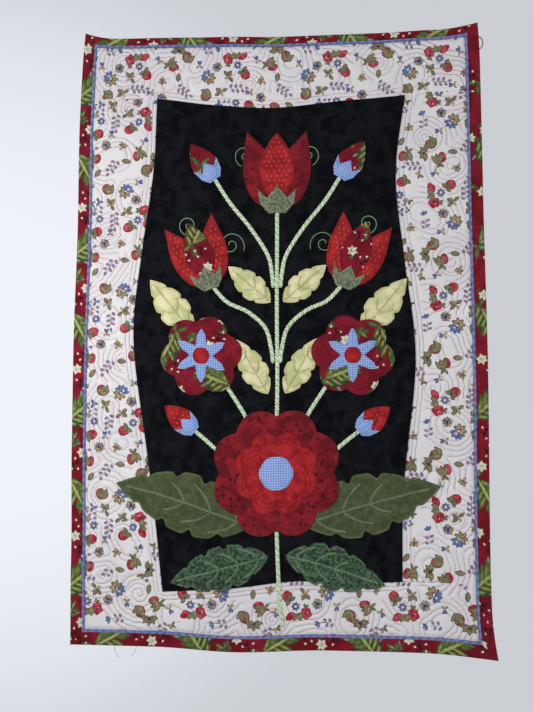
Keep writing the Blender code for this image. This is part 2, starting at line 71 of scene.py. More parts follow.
# Bowed edges as (place along the edge, shift), and pulled corners as (x, z, right, up, reach)
TOP_BOW = [(-0.255, 0.0048), (-0.170, 0.0036), (-0.070, 0.0022), (0.0, 0.0), (0.120, 0.0008)]
TOP_BOW += [(0.200, 0.0030), (0.255, 0.0050)]
BOTTOM_BOW = [(-0.255, -0.0019), (-0.150, -0.0018), (-0.050, 0.0025), (0.060, -0.0014)]
BOTTOM_BOW += [(0.170, -0.0020), (0.255, 0.0008)]
LEFT_BOW = [(-0.766, -0.0012), (-0.660, 0.0002), (-0.520, 0.0026), (-0.400, 0.0030)]
LEFT_BOW += [(-0.250, 0.0008), (-0.130, 0.0018), (0.0, -0.0010)]
RIGHT_BOW = [(-0.766, 0.0006), (-0.650, -0.0003), (-0.430, 0.0009), (-0.200, -0.0008)]
RIGHT_BOW += [(0.0, -0.0018)]
PULLS = [
    (-0.255, 0.0, 0.0026, 0.0078, 0.046),
    (0.255, 0.0, -0.0020, 0.0058, 0.055),
    (0.255, -0.766, 0.0062, -0.0034, 0.060),
]

# The black centre panel, and the knots along its sides, clockwise
TOP_LEFT, TOP_RIGHT = (-0.1545, -0.0810), (0.1610, -0.0830)
BOTTOM_RIGHT, BOTTOM_LEFT = (0.1510, -0.6835), (-0.1400, -0.7000)
PANEL_SIDES = [
    [TOP_LEFT, (-0.075, -0.0905), (0.000, -0.0935), (0.080, -0.0875), TOP_RIGHT],
    [TOP_RIGHT, (0.148, -0.185), (0.157, -0.292), (0.169, -0.415), (0.154, -0.570), BOTTOM_RIGHT],
    [BOTTOM_RIGHT, (0.085, -0.6865), (0.015, -0.6838), (-0.070, -0.6925), BOTTOM_LEFT],
    [BOTTOM_LEFT, (-0.157, -0.550), (-0.178, -0.395), (-0.171, -0.280), (-0.157, -0.170), TOP_LEFT],
]
PANEL_CENTRE = (0.0, -0.388)
PANEL_WIDE, PANEL_TALL = 0.310, 0.610
PANEL_HEM = 0.0002
SEAM_TOP = -0.0805
SEAM_BOTTOM = -0.683

# The quilting
SWIRLS = 40
SWIRL_RING_HALF, SWIRL_RING_TOP, SWIRL_RING_BOTTOM = 0.200, -0.047, -0.719
SWIRL_STAGGER = 0.0125
SWIRL_RADIUS = 0.0115
SWIRL_VARY = 0.0035
FIRST_ECHO = 0.0030
LINE_PITCH = 0.0058
ECHOES = 6
PANEL_ECHO = 0.0040
FIELD_BLEND = 0.0050
PANEL_LINES = (0.0050, 0.0100)
STITCH_LONG = 0.0028
STITCH_GAP = 0.0001
BACK_GAP = 0.0008
VALLEY = 0.0045
PUFF = 0.0022
PUFF_REACH = 0.0021
THREAD = 0.00030
QUILTING_THREAD = 0.00034
SEWING_THREAD = 0.00029

# Mesh sizes
STRIP_STEP = 0.00125
BACK_STEP = 0.0036
COARSE = 8
PANEL_STEP = 0.0027
BIND_STEP = 0.0015
RING_STEP = 0.0012
FILL_STEP = 0.0019
RASTER_STEP = 0.0010
LINE_STEP = 0.0008
RAY_STEP = 0.001


# How the flat quilt hangs


def smooth(t):
    """0 below 0, 1 above 1 and an even rise between."""
    t = np.clip(t, 0.0, 1.0)
    return t * t * (3.0 - 2.0 * t)


def joined(*coordinates):
    """Coordinates joined into points."""
    return np.stack(np.broadcast_arrays(*coordinates), axis=-1)


def bowed(table, at):
    """The shift of a bowed edge, easing from each row of its table to the next."""
    shift = np.full_like(at, table[0][1])
    for (a, low), (b, high) in zip(table, table[1:]):
        shift += (high - low) * smooth((at - a) / (b - a))
    return shift


def lift(x, z):
    """How far the back stands off the wall: nothing along the pinned top, then shallow waves."""
    waves = np.zeros_like(x)
    for rise, across, down, phase in WAVES:
        turn = 2.0 * math.pi * (x / across + z / down) + phase
        waves += rise * (1.0 + np.sin(turn)) / 2.0
    for at_x, at_z, rise, reach in FLARES:
        waves += rise * np.exp(-((x - at_x) ** 2 + (z - at_z) ** 2) / reach**2)
    return waves * smooth((-z - FLAT_TOP) / EASE_OFF)


def hang(points):
    """Flat points (x, depth, z) as they hang, in the part's frame."""
    x, depth, z = np.moveaxis(np.asarray(points, float), -1, 0)
    across = x / WIDTH + 0.5
    down = -z / HEIGHT
    right = bowed(RIGHT_BOW, z) * across - bowed(LEFT_BOW, z) * (1.0 - across)
    up = bowed(TOP_BOW, x) * (1.0 - down) - bowed(BOTTOM_BOW, x) * down
    for at_x, at_z, pull_right, pull_up, reach in PULLS:
        pull = np.clip(1.0 - np.hypot(x - at_x, z - at_z) / reach, 0.0, 1.0) ** 2
        right = right + pull_right * pull
        up = up + pull_up * pull
    return joined(x + right, -(lift(x, z) + depth), z + up)


# Flat lines and outlines


def curve_through(knots, step):
    """Points about step apart on a smooth curve through the knots, both ends included."""
    knots = [np.array(k, float) for k in knots]
    ends = [2 * knots[0] - knots[1], *knots, 2 * knots[-1] - knots[-2]]
    points = []
    for a, b, c, d in zip(ends, ends[1:], ends[2:], ends[3:]):
        count = max(1, round(np.linalg.norm(c - b) / step))
        for t in np.arange(count) / count:
            bend = (2 * a - 5 * b + 4 * c - d) * t * t + (3 * b - a - 3 * c + d) * t**3
            points.append(b + 0.5 * ((c - a) * t + bend))
    return np.array([*points, knots[-1]])


def run_length(line):
    """The distance along a line to each of its points."""
    return np.concatenate([[0.0], np.cumsum(np.linalg.norm(np.diff(line, axis=0), axis=1))])


def along(line, at):
    """The points at given distances along a line."""
    run = run_length(line)
    return joined(*(np.interp(at, run, line[:, k]) for k in range(line.shape[1])))


def evenly(line, step, closed=False):
    """The line again, with points about step apart."""
    line = np.array(line, float)
    if closed:
        line = np.vstack([line, line[:1]])
    total = run_length(line)[-1]
    at = np.linspace(0.0, total, max(3, round(total / step)) + 1)
    return along(line, at[:-1] if closed else at)


def beside(line):
    """A unit vector across the line at each of its points."""
    ahead = np.gradient(line, axis=0)
    ahead /= np.linalg.norm(ahead, axis=1)[:, None]
    return joined(ahead[:, 1], -ahead[:, 0])


def signed_distance(ring, x, z):
    """Distance from each point to a closed ring, below 0 inside it."""
    nearest = np.full(x.shape, np.inf)
    inside = np.zeros(x.shape, bool)
    for a, b in zip(ring, np.roll(ring, -1, axis=0)):
        edge = b - a
        t = np.clip(((x - a[0]) * edge[0] + (z - a[1]) * edge[1]) / (edge @ edge), 0.0, 1.0)
        nearest = np.minimum(nearest, (x - a[0] - t * edge[0]) ** 2 + (z - a[1] - t * edge[1]) ** 2)
        if a[1] != b[1]:
            crosses = (a[1] > z) != (b[1] > z)
            inside ^= crosses & (x < (b[0] - a[0]) * (z - a[1]) / (b[1] - a[1]) + a[0])
    return np.where(inside, -1.0, 1.0) * np.sqrt(nearest)


def turned_area(ring):
    """The area in a ring, below 0 if it runs clockwise."""
    x, z = ring.T
    return (x * np.roll(z, -1) - z * np.roll(x, -1)).sum() / 2.0


def offset(ring, by):
    """A ring moved out by a distance, or in if it is below 0, and which points still lie so far."""
    ahead = np.roll(ring, -1, axis=0) - np.roll(ring, 1, axis=0)
    ahead /= np.linalg.norm(ahead, axis=1)[:, None] + 1e-12
    moved = ring + joined(ahead[:, 1], -ahead[:, 0]) * np.sign(turned_area(ring)) * by
    found = signed_distance(ring, *moved.T)
    return moved, np.abs(found - by) < abs(by) * 0.12 + 0.00008


def runs_of(points, kept, least=4):
    """The runs of kept points in a row, in a line of points."""
    runs, run = [], []
    for p, keep in zip([*points, points[0]], [*kept, False]):
        if keep:
            run.append(p)
            continue
        if len(run) >= least:
            runs.append(np.array(run))
        run = []
    return runs


def offset_runs(ring, by):
    """A closed ring moved by a distance, as runs of points."""
    moved, kept = offset(ring, by)
    if kept.all():
        return [np.vstack([moved, moved[:1]])]
    first = int(np.argmin(kept))
    return runs_of(np.roll(moved, -first, axis=0), np.roll(kept, -first))


PANEL_RING = np.vstack([curve_through(side, 0.004)[:-1] for side in PANEL_SIDES])


# Even grids of values over the flat quilt


class Raster:
    """Values on an even grid over the flat quilt, read in between its points."""

    def __init__(self, step, fill=0.0):
        self.step = step
        self.x = np.arange(-WIDTH / 2.0, WIDTH / 2.0 + step, step)
        self.z = np.arange(-HEIGHT, step, step)
        self.values = np.full((len(self.z), len(self.x)), fill)

    def mesh(self):
        return np.meshgrid(self.x, self.z)

    def read(self, x, z):
        i = np.clip((np.asarray(x) - self.x[0]) / self.step, 0, len(self.x) - 1.001)
        j = np.clip((np.asarray(z) - self.z[0]) / self.step, 0, len(self.z) - 1.001)
        i0, j0 = i.astype(int), j.astype(int)
        s, t, v = i - i0, j - j0, self.values
        low = v[j0, i0] * (1 - s) + v[j0, i0 + 1] * s
        high = v[j0 + 1, i0] * (1 - s) + v[j0 + 1, i0 + 1] * s
        return low * (1 - t) + high * t

    def window(self, ring, margin):
        """The part of the grid that holds a ring with a margin, as slices and its x and z."""
        spans = []
        for axis, k in ((self.z, 1), (self.x, 0)):
            low = np.searchsorted(axis, ring[:, k].min() - margin)
            high = np.searchsorted(axis, ring[:, k].max() + margin)
            spans.append(slice(max(low, 0), min(high, len(axis))))
        return tuple(spans), np.meshgrid(self.x[spans[1]], self.z[spans[0]])


def spread(values, cells, join):
    """Each value joined with its neighbours up to some cells away, along both axes."""
    for axis in (0, 1):
        pad = [(0, 0), (0, 0)]
        pad[axis] = (cells, cells)
        wide = np.pad(values, pad, mode="edge")
        count = values.shape[axis]
        parts = [np.take(wide, range(k, k + count), axis=axis) for k in range(2 * cells + 1)]
        values = join(parts, axis=0)
    return values


def near_lines(lines, step, reach):
    """A raster of the distance to the nearest line."""
    raster = Raster(step, reach)
    points = np.vstack([evenly(line, step) for line in lines])
    column = np.round((points[:, 0] - raster.x[0]) / step).astype(int)
    row = np.round((points[:, 1] - raster.z[0]) / step).astype(int)
    cells = range(-math.ceil(reach / step), math.ceil(reach / step) + 1)
    for down in cells:
        for right in cells:
            i, j = row + down, column + right
            good = (i >= 0) & (i < len(raster.z)) & (j >= 0) & (j < len(raster.x))
            i, j, p = i[good], j[good], points[good]
            away = np.hypot(raster.x[j] - p[:, 0], raster.z[i] - p[:, 1])
            np.minimum.at(raster.values, (i, j), away)
    return raster


# The quilted lines of the border


def swirl_centres():
    """Where the quilted swirls lie, staggered either side of the middle of the border."""
    half, top, bottom = SWIRL_RING_HALF, SWIRL_RING_TOP, SWIRL_RING_BOTTOM
    corners = [(-half, top), (half, top), (half, bottom), (-half, bottom)]
    sides = list(zip(corners, corners[1:] + corners[:1]))
    lengths = [math.dist(a, b) for a, b in sides]
    centres = []
    for i in range(SWIRLS):
        at = (i + 0.16 * math.sin(2.3 * i)) / SWIRLS * sum(lengths) % sum(lengths)
        side = 0
        while at > lengths[side]:
            at -= lengths[side]
            side += 1
        (ax, az), (bx, bz) = sides[side]
        t = at / lengths[side]
        nx, nz = (bz - az) / lengths[side], (ax - bx) / lengths[side]
        off = SWIRL_STAGGER * (1 if i % 2 else -1) + SWIRL_VARY * math.sin(2.4 * i)
        radius = SWIRL_RADIUS + SWIRL_VARY * math.sin(1.7 * i + 0.5)
        x, z = ax + (bx - ax) * t + nx * off, az + (bz - az) * t + nz * off
        long = (0.0, 0.0040, 0.0085)[i % 3]
        turn = 1.9 * i + 0.4
        centres.append((x, z, radius - 0.45 * long, long * math.cos(turn), long * math.sin(turn)))
    return centres


def from_swirl(x, z, swirl):
    """Distance to a swirl, which is round or long, from its middle line less its radius."""
    cx, cz, radius, rx, rz = swirl
    size = rx * rx + rz * rz + 1e-12
    t = np.clip(((x - cx) * rx + (z - cz) * rz) / size, -1.0, 1.0) if size > 1e-9 else 0.0
    return np.hypot(x - cx - t * rx, z - cz - t * rz) - radius


def wandering(line, size=0.0005):
    """A line as a hand guides it, a little off its true course."""
    line = evenly(line, LINE_STEP)
    x, z = line.T
    right = size * np.sin(z * 310.0 + 40.0 * np.sin(x * 35.0))
    up = size * np.sin(x * 290.0 + 40.0 * np.sin(z * 31.0))
    return line + joined(right, up)


def in_from_binding(x, z):
    """How far each point lies inside the binding's inner edges."""
    return np.minimum(
        np.minimum(x + WIDTH / 2 - BIND_FRONT["left"], WIDTH / 2 - x - BIND_FRONT["right"]),
        np.minimum(-z - BIND_FRONT["top"], HEIGHT + z - BIND_FRONT["bottom"]),
    )


def on_border(x, z, panel):
    """Whether quilting lies clear of the panel's own lines and of the binding."""
    return (panel.read(x, z) > PANEL_LINES[1] + 0.002) & (in_from_binding(x, z) > 0.001)


def echo_lines(centres, panel):
    """The lines quilted round the swirls. Each runs where a blend of the distances to the swirls
    and to the panel passes a set value, so it echoes the shapes inside it."""
    turns = np.linspace(0.0, 2.0 * math.pi, 145)
    ray = np.arange(0.002, 0.060, RAY_STEP)
    lines = []
    for k, (cx, cz, *_) in enumerate(centres):
        x = cx + np.outer(np.cos(turns), ray)
        z = cz + np.outer(np.sin(turns), ray)
        aways = np.array([from_swirl(x, z, swirl) for swirl in centres])
        own = aways.argmin(axis=0) == k
        total = np.exp(-aways / FIELD_BLEND).sum(axis=0)
        total += np.exp(-(panel.read(x, z) - PANEL_ECHO) / FIELD_BLEND)
        field = -FIELD_BLEND * np.log(total)
        for echo in range(ECHOES):
            level = FIRST_ECHO + echo * LINE_PITCH
            passes = (field[:, :-1] < level) & (field[:, 1:] >= level)
            at = passes.argmax(axis=1)
            i = np.arange(len(turns))
            low, high = field[i, at], field[i, at + 1]
            r = ray[at] + RAY_STEP * (level - low) / (high - low + 1e-9)
            points = joined(cx + r * np.cos(turns), cz + r * np.sin(turns))
            keep = passes.any(axis=1) & own[i, at] & on_border(*points.T, panel)
            if keep.all():
                lines.append(points)
                continue
            first = int(np.argmin(keep[:-1]))
            lines += runs_of(np.roll(points[:-1], -first, axis=0), np.roll(keep[:-1], -first))
    return lines


def swirl_lines(centres, panel):
    """Inside each first echo: a spiral, a hook or nothing, in turn."""
    lines = []
    t = np.linspace(0.0, 1.0, 70)
    for k, (cx, cz, radius, *_) in enumerate(centres):
        if k % 3 == 2:
            continue
        hand = 1 if k % 2 else -1
        wind = (1.9 if k % 3 == 0 else 0.8) * 2.0 * math.pi
        reach = (radius + FIRST_ECHO * 0.4) * (0.10 + 0.82 * t**0.9 if k % 3 == 0 else 0.55 + 0.1 * t)
        turn = hand * wind * t + 1.3 * k
        line = joined(cx + reach * np.cos(turn), cz + reach * np.sin(turn))
        lines += runs_of(line, on_border(*line.T, panel))
    return lines


# Meshes


def add_piece(name, points, faces, material, nodes=(), layers=(), sharp=55.0):
    """A closed mesh riding on the quilt. layers are vectors that its material reads at its points."""
    points = np.asarray(points).reshape(-1, 3)
    mesh = bpy.data.meshes.new(name)
    mesh.from_pydata(points.tolist(), [], faces)
    mesh.calc_loop_triangles()
    corners = np.empty(len(mesh.loop_triangles) * 3, np.int32)
    mesh.loop_triangles.foreach_get("vertices", corners)
    a, b, c = points[corners.reshape(-1, 3)].transpose(1, 0, 2)
    if (a * np.cross(b, c)).sum() < 0.0:
        mesh.flip_normals()
    mesh.shade_smooth()
    mesh.set_sharp_from_angle(angle=math.radians(sharp))
    for key, values in dict(layers).items():
        kept = mesh.attributes.new(key, "FLOAT_VECTOR", "POINT")
        kept.data.foreach_set("vector", np.asarray(values, np.float32).ravel())
    mesh.materials.append(MATERIALS[material])
    piece = bpy.data.objects.new(name, mesh)
    bpy.context.scene.collection.objects.link(piece)
    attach(piece, "root")
    if nodes:
        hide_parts(*nodes)
    return piece


def add_cloth(name, points, faces, material, node, layers, sharp=55.0):
    """A cut and sewn cloth from flat points, set in the shape in which it hangs."""
    piece = add_piece(name, hang(points), faces, material, [node], layers, sharp)


def quads(at):
    """The faces of a grid of point numbers."""
    return np.stack([at[:-1, :-1], at[1:, :-1], at[1:, 1:], at[:-1, 1:]], axis=-1).reshape(-1, 4)


def closed_grid(front, back_depth):
    """A closed sheet from a grid of flat points (m, n, 3), m - 1 and n - 1 multiples of COARSE. Its
    back is that many times as coarse and lies at one depth. Returns flat points and faces."""
    m, n, _ = front.shape
    back = front[::COARSE, ::COARSE].copy()
    back[..., 1] = back_depth
    a, b, _ = back.shape
    at = np.arange(m * n).reshape(m, n)
    under = m * n + np.arange(a * b).reshape(a, b)
    faces = quads(at).tolist() + quads(under)[:, [0, 3, 2, 1]].tolist()
    edges = [(at[:, 0], under[:, 0]), (at[-1, :], under[-1, :])]
    edges += [(at[::-1, -1], under[::-1, -1]), (at[0, ::-1], under[0, ::-1])]
    for fine, wide in edges:
        for k in range(len(wide) - 1):
            run = fine[k * COARSE : (k + 1) * COARSE + 1][::-1]
            faces.append([*run.tolist(), int(wide[k]), int(wide[k + 1])])
    return np.vstack([front.reshape(-1, 3), back.reshape(-1, 3)]), faces


def triangulated(outline, inner):
    """Flat triangles that fill an outline and use the inner points, all counter-clockwise."""
    points = [Vector(p) for p in (*outline, *inner)]
    count = len(outline)
    edges = [(i, (i + 1) % count) for i in range(count)]
    verts, _, faces, *_ = delaunay_2d_cdt(points, edges, [], 1, 1e-7)
    verts = np.array([(v.x, v.y) for v in verts])
    faces = np.array(faces)
    a, b, c = verts[faces].transpose(1, 0, 2)
    area = (b[:, 0] - a[:, 0]) * (c[:, 1] - a[:, 1]) - (c[:, 0] - a[:, 0]) * (b[:, 1] - a[:, 1])
    faces[area < 0] = faces[area < 0][:, ::-1]
    return verts, faces


def threads(paths, radius, sides=4, flat=1.0):
    """Thin closed tubes along paths (count, steps, 3) of hung points; the first and last are tips.
    flat is their thickness over their width."""
    count, steps, _ = paths.shape
    ahead = paths[:, 2:] - paths[:, :-2]
    ahead /= np.linalg.norm(ahead, axis=-1, keepdims=True) + 1e-12
    side = np.cross(ahead, (0.0, -1.0, 0.0))
    side /= np.linalg.norm(side, axis=-1, keepdims=True) + 1e-12
    out = np.cross(side, ahead)
    spin = 2.0 * math.pi * (np.arange(sides) + 0.5) / sides
    ring = side[:, :, None] * np.cos(spin)[:, None] + out[:, :, None] * np.sin(spin)[:, None] * flat
    rings = paths[:, 1:-1, None] + radius * ring
    points = np.concatenate([paths[:, :1], rings.reshape(count, -1, 3), paths[:, -1:]], axis=1)
    each = points.shape[1]
    last = each - 1 - sides
    walls, tips = [], []
    for j in range(sides):
        k = (j + 1) % sides
        tips += [(0, 1 + j, 1 + k), (each - 1, last + k, last + j)]
        for a in range(1, last, sides):
            walls.append((a + j, a + sides + j, a + sides + k, a + k))
    base = (np.arange(count) * each)[:, None, None]
    faces = (np.array(tips)[None] + base).reshape(-1, 3).tolist()
    faces += (np.array(walls)[None] + base).reshape(-1, 4).tolist()
    return points, faces


def stitch_paths(runs, surface, long=STITCH_LONG, gap=STITCH_GAP, radius=THREAD, side=1.0):
    """A short sewn stitch after another along each run, as hung paths with both tips in the cloth.
    side is -1 where they show on the back."""
    found = []
    for run in runs:
        starts = np.arange(gap / 2.0, run_length(run)[-1] - long, long + gap)
        if len(starts):
            found.append(along(run, starts[:, None] + np.array([0.0, 0.08, 0.92, 1.0]) * long))
    spots = np.concatenate(found)
    depth = surface(spots[..., 0], spots[..., 1])
    depth = depth + side * radius * np.array([-0.7, 0.6, 0.6, -0.7])
    return hang(joined(spots[..., 0], depth, spots[..., 1]))


def add_threads(name, paths, radius, material, nodes=(), sides=4, flat=1.0):
    """Threads along hung paths, each with its own tone."""
    points, faces = threads(paths, radius, sides, flat)
    tone = np.repeat(0.5 + 0.5 * np.sin(np.arange(len(points)) * 12.9898), points.shape[1])
    add_piece(name, points, faces, material, nodes, {"tone": joined(tone, tone, tone)}, 80.0)


# Cloth materials

# A wave texture at this scale over a length has one wave to that length
WAVE_SCALE = 0.3142


def put(tree, socket, value):
    """A value set on a node's socket, or another node's output linked to it."""
    if isinstance(value, bpy.types.NodeSocket):
        tree.links.new(value, socket)
    else:
        socket.default_value = value


def add_node(tree, kind, inputs, settings):
    made = tree.nodes.new(kind)
    for key, value in settings.items():
        setattr(made, key, value)
    for socket, value in dict(inputs).items():
        put(tree, made.inputs[socket], value)
    return made


class Cotton:
    """A matt cotton material whose colour is worked out by nodes."""

    def __init__(self, name, roughness=0.86, sheen=0.18, shine=0.22, ragged=(330.0, 1.0, 1.6)):
        self.material = bpy.data.materials.new(name)
        self.material.use_nodes = True
        self.tree = self.material.node_tree
        self.shader = self.tree.nodes["Principled BSDF"]
        self.set("Sheen Weight", sheen)
        self.set("Sheen Roughness", 0.5)
        self.set("Specular IOR Level", shine)
        self.rough = roughness
        self.ragged = ragged
        self.places = self.node("ShaderNodeTexCoord").outputs["Object"]

    def set(self, name, value):
        put(self.tree, self.shader.inputs[name], value)

    def node(self, kind, inputs=(), **settings):
        return add_node(self.tree, kind, inputs, settings)

    def read(self, name):
        return self.node("ShaderNodeAttribute", attribute_name=name).outputs["Vector"]

    def split(self, name):
        """The three values kept under a name at the mesh's points."""
        return self.node("ShaderNodeSeparateXYZ", {"Vector": self.read(name)}).outputs

    def noise(self, scale, detail=2.0, distortion=0.0):
        inputs = {"Vector": self.places, "Scale": scale, "Detail": detail, "Distortion": distortion}
        return self.node("ShaderNodeTexNoise", inputs).outputs["Fac"]

    def band(self, value, low, high, start=0.0, end=1.0):
        """A smooth step from start to end as value goes from low to high."""
        inputs = {"Value": value, "From Min": low, "From Max": high, "To Min": start, "To Max": end}
        node = self.node("ShaderNodeMapRange", inputs, interpolation_type="SMOOTHSTEP")
        return node.outputs["Result"]

    def mix(self, share, *colours, **settings):
        below, above = [c if isinstance(c, bpy.types.NodeSocket) else (*c, 1.0) for c in colours]
        inputs = {0: share, 6: below, 7: above}
        return self.node("ShaderNodeMix", inputs, data_type="RGBA", **settings).outputs[2]

    def drift(self, value, low, high, below, above):
        """From one colour to another as value goes from low to high."""
        return self.mix(self.band(value, low, high), below, above)

    def math(self, operation, a, b):
        return self.node("ShaderNodeMath", {0: a, 1: b}, operation=operation).outputs[0]

    def loose(self, distance):
        """A distance made ragged, as ink bleeds into cloth."""
        scale, detail, size = self.ragged
        return self.math("ADD", distance, self.math("MULTIPLY", self.noise(scale, detail), size))

    def ink(self, under, distance, colour, soft=0.16, rim=None):
        """An ink laid over a colour inside a shape, from the distance to it in millimetres. A rim
        is where it starts, where it ends and its colour."""
        if rim:
            low, high, edge = rim
            colour = self.drift(self.loose(distance), low, high, colour, edge)
        return self.drift(distance, -soft, soft, colour, under)

    def stripes(self, pitch, **inputs):
        """Waves along and across the cloth, one to every pitch."""
        inputs.update({"Vector": self.read("cut"), "Scale": WAVE_SCALE / pitch})
        kind = "ShaderNodeTexWave"
        return [self.node(kind, inputs, bands_direction=way).outputs["Fac"] for way in ("X", "Y")]

    def bump(self, height, strength, distance):
        inputs = {"Height": height, "Strength": strength, "Distance": distance}
        self.set("Normal", self.node("ShaderNodeBump", inputs).outputs["Normal"])

    def woven(self, colour, pitch=0.0005):
        """The colour on a plain weave, with painted shade in the weave's hollows and painted light on its
        crossings, a little uneven in its roughness.
        """
        crossed = self.math("ADD", *self.stripes(pitch, Distortion=0.6, Detail=1.0))
        slubs = self.math("MULTIPLY", self.noise(900.0), 0.9)
        self.bump(self.math("ADD", crossed, slubs), 0.5, 0.00006)
        # Painted shade and light: the colour is multiplied down in the weave's hollows and up on its
        # crossings, following the bump
        tone = self.band(crossed, 0.2, 1.8, 0.93, 1.03)
        weave_shade = self.node("ShaderNodeCombineColor", {0: tone, 1: tone, 2: tone}).outputs[0]
        self.set("Base Color", self.mix(1.0, colour, weave_shade, blend_type="MULTIPLY"))
        rough = self.band(self.noise(420.0), 0.3, 0.7, self.rough - 0.05, self.rough + 0.05)
        self.set("Roughness", rough)
        return self.material


def printed_cotton():
    """Cool white cotton with a small print in seven colours."""
    m = Cotton("printed_cotton", 0.88)
    tan, red, green = m.split("print_a")
    blue, purple, dark = m.split("print_b")
    light, twig, _ = m.split("print_c")
    fine = m.noise(620.0)
    colour = m.drift(m.noise(9.0), 0.35, 0.65, (0.745, 0.725, 0.732), (0.790, 0.770, 0.762))
    colour = m.ink(colour, twig, (0.21, 0.155, 0.115), 0.25)
    reds = m.drift(m.noise(160.0), 0.40, 0.62, (0.34, 0.008, 0.024), (0.60, 0.065, 0.095))
    colour = m.ink(colour, red, reds, rim=(-0.9, 1.0, (0.22, 0.008, 0.022)))
    greens = m.drift(fine, 0.38, 0.62, (0.100, 0.108, 0.046), (0.245, 0.235, 0.105))
    greens = m.drift(m.loose(green), -2.6, -0.2, (0.40, 0.365, 0.185), greens)
    colour = m.ink(colour, green, greens, rim=(-0.1, 0.9, (0.040, 0.046, 0.026)))
    tans = m.drift(fine, 0.40, 0.60, (0.33, 0.21, 0.085), (0.58, 0.44, 0.24))
    colour = m.ink(colour, tan, tans, rim=(-0.1, 0.9, (0.17, 0.105, 0.05)))
    blues = m.drift(fine, 0.40, 0.62, (0.055, 0.085, 0.24), (0.16, 0.27, 0.50))
    colour = m.ink(colour, blue, blues, rim=(0.0, 0.9, (0.035, 0.050, 0.15)))
    purples = m.drift(fine, 0.40, 0.60, (0.18, 0.115, 0.21), (0.36, 0.27, 0.39))
    colour = m.ink(colour, purple, purples)
    colour = m.ink(colour, dark, (0.030, 0.030, 0.060))
    colour = m.ink(colour, light, (0.86, 0.60, 0.46))
    return m.woven(colour, 0.00045)


def red_print():
    """Wine red cotton with leaf sprays, pale stars, buds and dark twigs."""
    m = Cotton("red_print", 0.84, 0.05, 0.12, (260.0, 2.0, 2.4))
    leaf_ink, vein, tip = m.split("print_a")
    cream, dark, heart = m.split("print_b")
    shade = m.split("print_c")[0]
    colour = m.drift(m.noise(55.0, 3.0), 0.36, 0.66, (0.150, 0.005, 0.013), (0.235, 0.010, 0.024))
    colour = m.ink(colour, dark, (0.045, 0.005, 0.009), 0.4)
    greens = m.drift(m.noise(240.0), 0.36, 0.62, (0.060, 0.115, 0.026), (0.15, 0.205, 0.050))
    greens = m.drift(vein, 0.1, 1.6, (0.29, 0.335, 0.095), greens)
    greens = m.drift(m.loose(leaf_ink), -0.9, 1.3, greens, (0.034, 0.072, 0.024))
    greens = m.drift(m.loose(shade), 0.2, 2.6, (0.024, 0.058, 0.024), greens)
    colour = m.ink(colour, leaf_ink, greens, 0.25)
    colour = m.ink(colour, tip, (0.19, 0.29, 0.26), 0.6)
    colour = m.ink(colour, vein, (0.46, 0.47, 0.18), 0.3)
    colour = m.ink(colour, cream, (0.70, 0.67, 0.50), 0.2)
    colour = m.ink(colour, heart, (0.28, 0.36, 0.24), 0.3)
    return m.woven(colour)


def mottled(name, deep, bright, scale, low=0.36, high=0.64, spots=None, sheen=0.12, shine=0.22):
    """Hand-dyed cotton that drifts between two shades, with spots of a third."""
    m = Cotton(name, 0.88, sheen, shine)
    colour = m.drift(m.noise(scale, 4.0, 0.6), low, high, deep, bright)
    if spots:
        inputs = {"Vector": m.places, "Scale": 115.0, "Randomness": 0.9}
        cells = m.node("ShaderNodeTexVoronoi", inputs).outputs["Distance"]
        away = m.math("SUBTRACT", cells, m.math("MULTIPLY", m.noise(420.0), 0.34))
        colour = m.drift(away, 0.02, 0.12, spots, colour)
    return m.woven(colour)


def blue_check():
    """Sky blue and white gingham with a check of 3 mm."""
    m = Cotton("blue_check", 0.85)
    bands = [m.band(stripe, 0.35, 0.65) for stripe in m.stripes(0.0030)]
    share = m.math("MULTIPLY", m.math("ADD", *bands), 0.5)
    return m.woven(m.mix(share, (0.115, 0.235, 0.62), (0.44, 0.56, 0.84)))


def thread_material(name, deep, bright, scale=None, deep_drift=None, bright_drift=None):
    """Sewing thread: a little brighter or duller from stitch to stitch, or shaded along its run."""
    m = Cotton(name, 0.62, 0.3)
    tone = m.split("tone")[0]
    colour = m.mix(tone, deep, bright)
    if scale:
        drifted = m.mix(tone, deep_drift, bright_drift)
        colour = m.drift(m.noise(scale, 1.0), 0.38, 0.62, colour, drifted)
    twist = m.noise(2600.0, 1.0)
    m.bump(twist, 0.4, 0.00005)
    m.set("Base Color", colour)
    m.set("Roughness", m.band(twist, 0.3, 0.7, 0.55, 0.72))
    return m.material


COTTONS = {
    "black_cotton": ((0.0030, 0.0033, 0.0045), (0.0085, 0.0090, 0.0115), 70.0),
    "crimson_batik": ((0.135, 0.002, 0.008), (0.27, 0.008, 0.018), 60.0),
    "bright_red": ((0.27, 0.006, 0.010), (0.45, 0.017, 0.020), 70.0),
    "leaf_green": ((0.045, 0.060, 0.022), (0.088, 0.108, 0.046), 120.0, 0.25, 0.75),
    "deep_green": ((0.014, 0.034, 0.018), (0.085, 0.145, 0.085), 330.0, 0.40, 0.62),
    "sage": ((0.085, 0.100, 0.060), (0.235, 0.260, 0.170), 330.0, 0.38, 0.64),
    "pale_leaf": ((0.53, 0.56, 0.25), (0.82, 0.74, 0.45), 75.0),
    "backing": ((0.70, 0.68, 0.62), (0.77, 0.75, 0.70), 20.0),
}
FINISH = {
    "black_cotton": {"sheen": 0.006, "shine": 0.05},
    "crimson_batik": {"spots": (0.050, 0.001, 0.004)},
    "leaf_green": {"sheen": 0.06},
    "deep_green": {"sheen": 0.06},
    "sage": {"sheen": 0.08},
}
